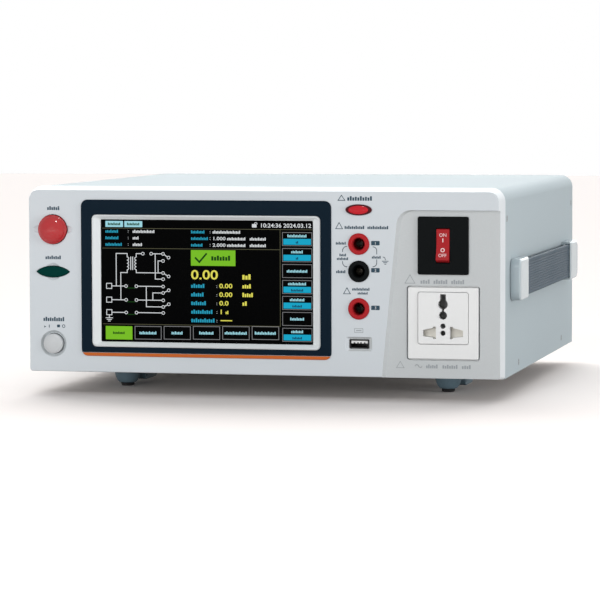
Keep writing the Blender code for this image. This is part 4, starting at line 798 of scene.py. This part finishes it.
deep = screen_marks("key_values", over_fill)
for top, wide in zip(keys, (1.8, 1.8, 0, 8.6, 6.8, 0, 6.8)):
    if wide:
        deep.words((keys_middle - wide / 2, top - value_drop, wide, 1.7))
deep.done(glow["deep_blue"])

cyan = screen_marks("names")
for z, wide, other in zip(header_rows, (9.2, 9.4, 11.8), (9.6, 12.0, 8.2)):
    cyan.words((3.1, z, wide, 2.0), (63.5, z, other, 2.0))
cyan.words(*((63.4, z, wide, 2.7) for z, wide in zip(rows, (9.6, 9.0, 10.6, 15.2, 16.6))))
cyan.done(glow["cyan"])

pale = screen_marks("words")
for top, wide, full in zip(keys, (13.4, 8.2, 14.4, 12.6, 10.2, 9.8, 8.4), has_value):
    pale.words((keys_middle - wide / 2, top - (name_drop if full else lone_drop), wide, 1.9))
for i, wide in enumerate((12.2, 8.0, 10.2, 15.6, 14.8), start=1):
    pale.words((foot_keys[i] + (foot_width - wide) / 2, 5.0 + foot_rise * i, wide, 2.0))
pale.done(glow["sky"])

white = screen_marks("settings")
for z, wide in zip(header_rows, (15.6, 4.4, 6.8)):
    white.box(19.1, z + 0.2, 19.4, z + 0.5)
    white.box(19.1, z + 1.3, 19.4, z + 1.6)
    white.words((22.4, z, wide, 2.0))
white.words((78.6, header_rows[0], 19.4, 2.0))
for z in header_rows[1:]:
    white.words((88.6, z, 13.0, 2.0), (104.4, z, 11.4, 2.0))
for z in header_rows + rows:
    x = 76.6 if z in header_rows else 81.2
    white.box(x, z + 0.2, x + 0.35, z + 0.55)
    white.box(x, z + 1.4, x + 0.35, z + 1.75)
white.box(106.0, 78.6, 109.2, 80.9, 0.3)
white.arc(108.6, 80.9, 0.95, 0, 180, 0.35, 6)
white.done(glow["white"])

yellow = screen_marks("units")
yellow.words((99.2, 43.4, 6.2, 3.6), *((99.2, z, wide, 2.9) for z, wide in zip(rows, (6.2, 7.6, 3.4))),
             (87.4, rows[3], 2.2, 2.2))
yellow.bars(0.7, (84.2, rows[4] + 1.4, 91.6, rows[4] + 1.4))
yellow.done(glow["yellow"])

# %% [markdown]
# Only plain numbers are written. Those of one kind share a size and a colour, so they are listed together:
# the result, its readings, the two limits and the clock.

# %% Numbers of the screen
number_sets = (("result", ("0.00",), 63.2, (43.3,), 6.4, "yellow", "LEFT", 1.25, 0.12),
               ("value", ("0.00", "0.00", "0.0", "1"), 83.0, rows, 3.1, "yellow", "LEFT", 1.25, 0.08),
               ("limit", ("1.000", "2.000"), 78.4, header_rows[1:], 2.3, "white", "LEFT", 1.3, 0.05),
               ("clock", ("10:24:36 2024.03.12",), 147.0, (78.7,), 2.8, "white", "RIGHT", 1.12, 0.06))
for name, texts, x, heights, tall, colour, align, wide, bold in number_sets:
    for i, (text, z) in enumerate(zip(texts, heights)):
        figures(f"screen_{name}_{i}" if len(texts) > 1 else "screen_" + name, text, x, z, tall,
                (screen_left, screen_base, screen_front), glow[colour], align=align, wide=wide, bold=bold)
print("sets of numbers", len(number_sets))

# %% [markdown]
# The sketch is this lesson's own: a source, a transformer with its windings as rows of half rings, three
# terminals on the left, each with a switch, and two change-over contacts on the right. It is drawn with
# strokes and small rings.

# %% The wiring sketch
line = 0.55
node_x, contact_x = 43.7, 47.6
node_end = node_x - 1.1
terminals = (38.0, 28.6, 20.0)


def earth_bars(marks, x, *levels, width=0.5):
    """The bars of an earth sign, each given by its height and its length."""
    marks.bars(width, *((x - wide / 2, z, x + wide / 2, z) for z, wide in levels))


sketch = screen_marks("sketch")
for z in terminals:
    sketch.frame(3.4, z - 2.0, 7.6, z + 2.0, 0.5)
    sketch.bars(line, (7.6, z, 16.4, z))
    sketch.ring(17.5, z)
    sketch.ring(24.8, z)
    sketch.bars(line, (25.8, z, node_end, z))
    sketch.ring(node_x, z)
earth_bars(sketch, 5.5, (16.2, 4.6), (15.1, 3.0), (14.0, 1.4))
sketch.bars(line, (5.5, 18.0, 5.5, 16.2))
for z in (24.1, 33.6):
    sketch.ring(node_x, z)
    sketch.ring(contact_x, z + 1.9)
    sketch.bars(line, (node_x + 0.9, z + 0.4, contact_x - 0.9, z + 1.5))
sketch.bars(line, (31.8, 24.1, node_end, 24.1), (31.8, 24.1, 31.8, 38.0), (36.4, 33.6, node_end, 33.6),
            (36.4, 28.6, 36.4, 33.6))
for x, start in ((18.4, -80), (24.8, 100)):
    for z in (50.2, 52.4, 54.6, 56.8):
        sketch.arc(x, z, 1.05, start, start + 160, 0.5, 6)
    sketch.bars(line, (x, 58.0, x, 60.2))
sketch.bars(0.6, (20.9, 49.4, 20.9, 57.8), (22.3, 49.4, 22.3, 57.8))
sketch.bars(line, (10.6, 60.2, 18.4, 60.2), (10.6, 38.0, 10.6, 60.2), (13.8, 47.2, 18.4, 47.2),
            (13.8, 28.6, 13.8, 47.2), (18.4, 47.2, 18.4, 49.2), (24.8, 47.2, 24.8, 49.2),
            (24.8, 60.2, 28.4, 60.2))
sketch.ring(29.5, 60.2)
sketch.ring(35.4, 60.2)
sketch.bars(line, (36.4, 60.2, node_end, 60.2), (24.8, 47.2, node_end, 47.2))
for z in (60.2, 55.4, 47.2, 43.0):
    sketch.ring(node_x, z)
sketch.bars(line, (38.2, 43.0, node_end, 43.0), (38.2, 43.0, 38.2, 60.2), (40.2, 47.2, 40.2, 55.4),
            (40.2, 55.4, node_end, 55.4))
for z, top in ((57.7, 59.6), (44.9, 46.6)):
    sketch.ring(contact_x, z)
    sketch.bars(line, (node_x + 0.9, top, contact_x - 0.9, z + 0.5))
sketch.done(glow["white"])

closed = screen_marks("closed_contacts")
closed.bars(0.5, *((18.6, z - 1.3, 23.8, z - 1.3) for z in terminals))
closed.done(glow["dark_green"])

# %% [markdown]
# The front is screen printed in a dark blue-grey ink: a name over each key and jack, small dark plates with
# a plain number beside each jack, brackets that tie the jacks together and plain triangles. The words stay
# blocks of ink. Places are given from the middle of the case and from the front's lower edge.

# %% The front's print
stroke = 0.45


def triangle(marks, x1, z1, x2, z2, width=stroke):
    """A plain open triangle, standing on its base."""
    middle = (x1 + x2) / 2
    half = width / 2
    left, right, base, top = x1 + half, x2 - half, z1 + half, z2 - half
    marks.bars(width, (left, base, right, base), (left, base, middle, top), (right, base, middle, top))


def front_plane(depth=0.0):
    return case_middle.x, case_low.z, case_low.y + depth


printed = Marks("front_print", front_plane())
triangle(printed, 53.6, 118.8, 58.8, 122.7)
printed.words((60.2, 118.9, 17.2, 3.0))
triangle(printed, 52.0, 99.9, 57.1, 104.5)
printed.words((58.3, 100.0, 13.7, 2.2), (73.9, 100.0, 14.4, 2.2), (52.3, 89.5, 7.0, 1.9),
              (52.5, 70.4, 6.6, 2.0), (54.8, 81.7, 4.7, 1.8), (53.0, 79.2, 7.9, 1.8))
for arc, leg in (((59.8, 85.4, 2.9, 90, 180), (56.9, 85.4, 56.9, 84.8)),
                 ((59.8, 77.6, 2.9, 180, 270), (56.9, 78.2, 56.9, 77.6)),
                 ((77.6, 85.6, 2.6, 90, 0), (80.2, 85.6, 80.2, 83.4)),
                 ((77.6, 77.5, 2.6, 0, -90), (80.2, 79.6, 80.2, 77.5))):
    printed.arc(*arc, stroke, 7)
    printed.bars(stroke, leg)
printed.words((76.9, 80.4, 6.2, 1.8))
printed.arc(84.2, 79.6, 1.9, 80, 0, 0.40, 6)
earth_bars(printed, 86.0, (78.7, 4.0), (77.7, 2.4), (76.7, 0.9), width=stroke)
triangle(printed, 57.3, 56.4, 62.4, 60.9)
printed.words((63.4, 58.9, 12.1, 1.9), (67.2, 56.3, 7.0, 1.6))
plates = (89.2, 71.1, 46.0)
for z in plates:
    printed.box(76.4, z, 82.2, z + 2.95, 0.45)
printed.words((-149.4, 111.3, 9.0, 2.6), (-150.9, 77.7, 11.3, 2.5), (-152.7, 35.3, 15.2, 2.9))
printed.disc(-151.7, 31.5, 0.9, 3, upright)
printed.bars(0.55, (-148.6, 31.1, -148.6, 32.6))
printed.box(-143.0, 31.1, -140.9, 33.0, 0.3)
printed.ring(-138.3, 31.95)
printed.done(finish["print_ink"])

for i, z in enumerate(plates):
    figures(f"jack_number_{i + 1}", str(i + 1), 79.3, z + 0.55, 1.9, front_plane(-ink), finish["pale_ink"],
            align="CENTER")

faint = Marks("port_print", front_plane())
faint.frame(64.9, 30.6, 70.9, 33.6, 0.35)
faint.bars(0.7, (66.4, 32.1, 69.4, 32.1))
faint.done(finish["faint_ink"])

# %% [markdown]
# In the field the print is faint, nearly the colour of the plastic, and it lies on the field's floor. A wave
# of two arcs marks the outlet's alternating current.

# %% The field's print
carved = Marks("field_print", front_plane(field_depth))
triangle(carved, 98.7, 63.9, 105.8, 69.9, 0.40)
carved.words(*((x, 63.8, wide, 2.9) for x, wide in ((109.4, 6.6), (118.2, 9.7), (130.2, 9.0))))
triangle(carved, 92.9, 7.3, 98.4, 11.9, 0.35)
carved.arc(106.9, 8.5, 1.2, 170, 10, 0.35, 6)
carved.arc(109.3, 9.1, 1.2, 190, 350, 0.35, 6)
carved.words(*((x, 7.4, wide, 2.6) for x, wide in ((113.2, 8.1), (124.3, 10.5), (137.4, 6.3))))
carved.done(finish["faint_ink"])

# %% [markdown]
# The rocker is printed with the plain words and signs of every line switch. Its lower half leans out by 16
# degrees while it is on, so what stands there is drawn upright and then turned about the crease. All of it
# rides on the rocker's body, so that it tips with the rocker.

# %% Words and signs on the rocker
crease_height, crease_depth, lean = 89.3 * mm, 0.9 * mm, 16
rocker_plane = (ends("rocker")[2].x, case_low.z + crease_height, case_low.y + crease_depth)


def turned(piece, degrees, axis, centre):
    """Turns a finished mark about an axis through a point."""
    select_only(piece)
    mode("EDIT")
    bpy.ops.mesh.select_all(action="SELECT")
    bpy.ops.transform.rotate(value=math.radians(degrees), orient_axis=axis, center_override=centre)
    mode("OBJECT")
    print(piece.name, "turned by", degrees, "degrees")


def leaned(piece):
    """Turns a mark about the rocker's crease so that its foot comes forward."""
    turned(piece, lean, "X", (0, rocker_plane[2], rocker_plane[1]))


def rocker_word(name, text, z):
    return figures(name, text, 0, z, 2.3, rocker_plane, finish["rocker_ink"], "line_rocker", "CENTER")


rocker_word("rocker_on", "ON", 6.0)
leaned(rocker_word("rocker_off", "OFF", -7.7))
on_sign = Marks("rocker_line", rocker_plane)
on_sign.bars(0.6, (0, 2.6, 0, 4.6))
on_sign.done(finish["rocker_ink"], "line_rocker")
off_sign = Marks("rocker_ring", rocker_plane)
off_sign.ring(0, -3.0, 1.15, 0.55)
leaned(off_sign.done(finish["rocker_ink"], "line_rocker"))

# %% [markdown]
# Every screw on the case is a low round head with a cross in it. It is turned as a short cylinder with a
# rounded rim, its cross is cut with two bars, and then it is set down where a screw sits. Each is driven to
# another angle, as real ones are.

# %% One screw, set down anywhere
head_sides, rim_share, rim_segments = 28, 0.45, 3
rim_above, head_smooth = math.radians(60), math.radians(35)
cross_length, cross_width, cross_depth = 1.15, 0.24, 1.1
first_turn, next_turn = 0.4, 1.3


def cross_screw(name, radius, height):
    """One screw head, its cross up, made standing on the origin; set_screws places it by its middle."""
    select_only()
    bpy.ops.mesh.primitive_cylinder_add(vertices=head_sides, radius=radius, depth=height,
                                        location=(0, 0, height / 2))
    head = bpy.context.object
    head.name = name
    soft = head.modifiers.new("rim", "BEVEL")
    soft.width = height * rim_share
    soft.segments = rim_segments
    soft.limit_method = "ANGLE"
    soft.angle_limit = rim_above
    bpy.ops.object.modifier_apply(modifier=soft.name)
    for turn in (0, math.pi / 2):
        select_only()
        bpy.ops.mesh.primitive_cube_add(size=1, location=(0, 0, height))
        bar = bpy.context.object
        bpy.ops.transform.resize(value=(radius * cross_length, radius * cross_width, height * cross_depth))
        bpy.ops.object.transform_apply(location=False, rotation=False, scale=True)
        bar.rotation_euler.z = turn
        slot = head.modifiers.new("cross", "BOOLEAN")
        slot.object = bar
        slot.operation = "DIFFERENCE"
        slot.solver = "EXACT"
        select_only(head)
        bpy.ops.object.modifier_apply(modifier=slot.name)
        bpy.data.objects.remove(bar)
    return head


def set_screws(name, places, radius, height, facing, surface="steel"):
    """Sets one head down at each place, looking along facing, and joins them as one piece; sizes in mm."""
    heads = [cross_screw(f"{name}_{i}", radius * mm, height * mm) for i in range(len(places))]
    outwards = Vector(facing).to_track_quat("Z", "Y").to_matrix().to_4x4()
    for i, (head, place) in enumerate(zip(heads, places)):
        driven = Matrix.Rotation(first_turn + next_turn * i, 4, "Z")
        head.matrix_world = Matrix.Translation(place) @ outwards @ driven
    select_only(*heads)
    bpy.ops.object.transform_apply()
    bpy.ops.object.join()
    piece = bpy.context.object
    piece.name = name
    bpy.ops.object.shade_smooth_by_angle(angle=head_smooth)
    piece.data.materials.clear()
    piece.data.materials.append(finish[surface])
    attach(piece, "instrument")
    print(name, len(places), "screws,", len(piece.data.polygons), "faces")


print("a head has", head_sides, "sides")

# %% [markdown]
# The heads on the sides are dull and countersunk, so they lie almost flush. Those at the rear and under
# the floor pan stand about half a millimetre proud, and the ones on the inlets' flanges are low. The middle
# of each lies a little below the surface, so that it grows out of the sheet.

# %% Screws of the case
sunk, flush = 0.1, 0.22
cover_low, cover_high, _ = ends("case_cover")
side_places = ((19.9, 106.8), (317.0, 106.5), (268.8, 7.5), (69.8, 6.8))
for name, x, side in (("screws_right", cover_high.x, 1), ("screws_left", cover_low.x, -1)):
    places = [(x - side * sunk * mm, case_low.y + y * mm, case_low.z + z * mm) for y, z in side_places]
    set_screws(name, places, 2.3, sunk + flush, (side, 0, 0), "dull_zinc")

to_rear, down = (0, 1, 0), (0, 0, -1)
low, high, _ = ends("rear_panel")
rear_y = high.y
from_corner, above_corner, from_edge = 9 * mm, 8 * mm, 7 * mm
places = [(x, z) for z in (low.z + above_corner, high.z - from_corner)
          for x in (low.x + from_corner, high.x - from_corner)]
places += [(case_middle.x, z) for z in (high.z - from_edge, low.z + from_edge)]
set_screws("screws_rear", [(x, rear_y - sunk * mm, z) for x, z in places], 2.6, 1.3, to_rear)

_, high, middle = ends("fan_guard")
fan_hole = 25 * mm
set_screws("screws_fan", [(middle.x + a * fan_hole, high.y - 2 * sunk * mm, middle.z + b * fan_hole)
                          for a in (-1, 1) for b in (-1, 1)], 3.2, 1.4, to_rear)

flange_hole = 20 * mm
places = []
for name in ("supply_inlet", "line_inlet"):
    _, high, middle = ends(name)
    places += [(middle.x + side * flange_hole, high.y - sunk * mm, middle.z) for side in (-1, 1)]
set_screws("screws_inlets", places, 2.2, 0.45, to_rear)

pan_base = ends("chassis")[0].z
rail, spacing = 156 * mm, 110 * mm
set_screws("screws_base", [(case_middle.x + x, y, pan_base + sunk * mm)
                           for x in (-rail, rail) for y in (-spacing, 0, spacing)], 2.4, 1.1, down)

# %% [markdown]
# The rear is printed too, with the same stand-ins for words. They are drawn as seen from the front and then
# turned half round about a vertical line through the middle of the panel, so places are given as seen from
# behind. An earth sign stands by the earth post.

# %% The rear's print
rear_print = Marks("rear_print", (case_middle.x, case_low.z, rear_y))
rear_print.words((-125.0, 101.0, 20.0, 2.6), (-123.0, 54.6, 16.0, 2.6), (-32.0, 99.0, 14.0, 2.6),
                 (-30.0, 65.0, 10.0, 2.6), (-70.0, 39.0, 10.0, 2.4))
rear_print.bars(0.5, (-54.0, 31.4, -54.0, 28.6))
earth_bars(rear_print, -54.0, (28.6, 6.0), (27.2, 3.8), (25.8, 1.6))
turned(rear_print.done(finish["print_ink"]), 180, "Z", (case_middle.x, rear_y, 0))

# %% [markdown]
# Last come the small parts of the connectors. The host port's tongue shows four contacts, and the serial
# connector's mouth is a dark block with nine contacts in two rows.

# %% Contacts of the ports
tongue_low, _, tongue_middle = ends("port_tongue")
teeth = Marks("port_teeth", (tongue_middle.x, tongue_low.z, tongue_low.y))
for x in (-3.5, -1.0, 1.0, 3.5):
    teeth.box(x - 0.55, 0.05, x + 0.55, 0.75)
teeth.done(finish["slot_steel"])

_, serial_high, serial_middle = ends("serial_port")
pin_pitch, row_height = 2.76, 1.42


def rear_blocks(name, centres, width, height, depth, surface):
    """Small blocks on the serial port's face, given from its middle, as one piece; sizes in mm."""
    parts = []
    for x, z in centres:
        select_only()
        place = (serial_middle.x + x * mm, serial_high.y + depth / 2 * mm, serial_middle.z + z * mm)
        bpy.ops.mesh.primitive_cube_add(size=1, location=place)
        bpy.ops.transform.resize(value=(width * mm, depth * mm, height * mm))
        parts.append(bpy.context.object)
    select_only(*parts)
    if len(parts) > 1:
        bpy.ops.object.join()
    piece = bpy.context.object
    piece.name = name
    bpy.ops.object.transform_apply()
    piece.data.materials.append(finish[surface])
    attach(piece, "instrument")
    print(name, len(parts), "blocks")


rear_blocks("serial_block", ((0, 0),), 15.0, 6.0, 0.12, "black_plastic")
rear_blocks("serial_pins", [((i - 2) * pin_pitch, row_height) for i in range(5)]
            + [((i - 1.5) * pin_pitch, -row_height) for i in range(4)], 0.9, 0.9, 0.20, "contact_metal")

# %% [markdown]
# At the end the view layer is updated.

# %% The end
bpy.context.view_layer.update()
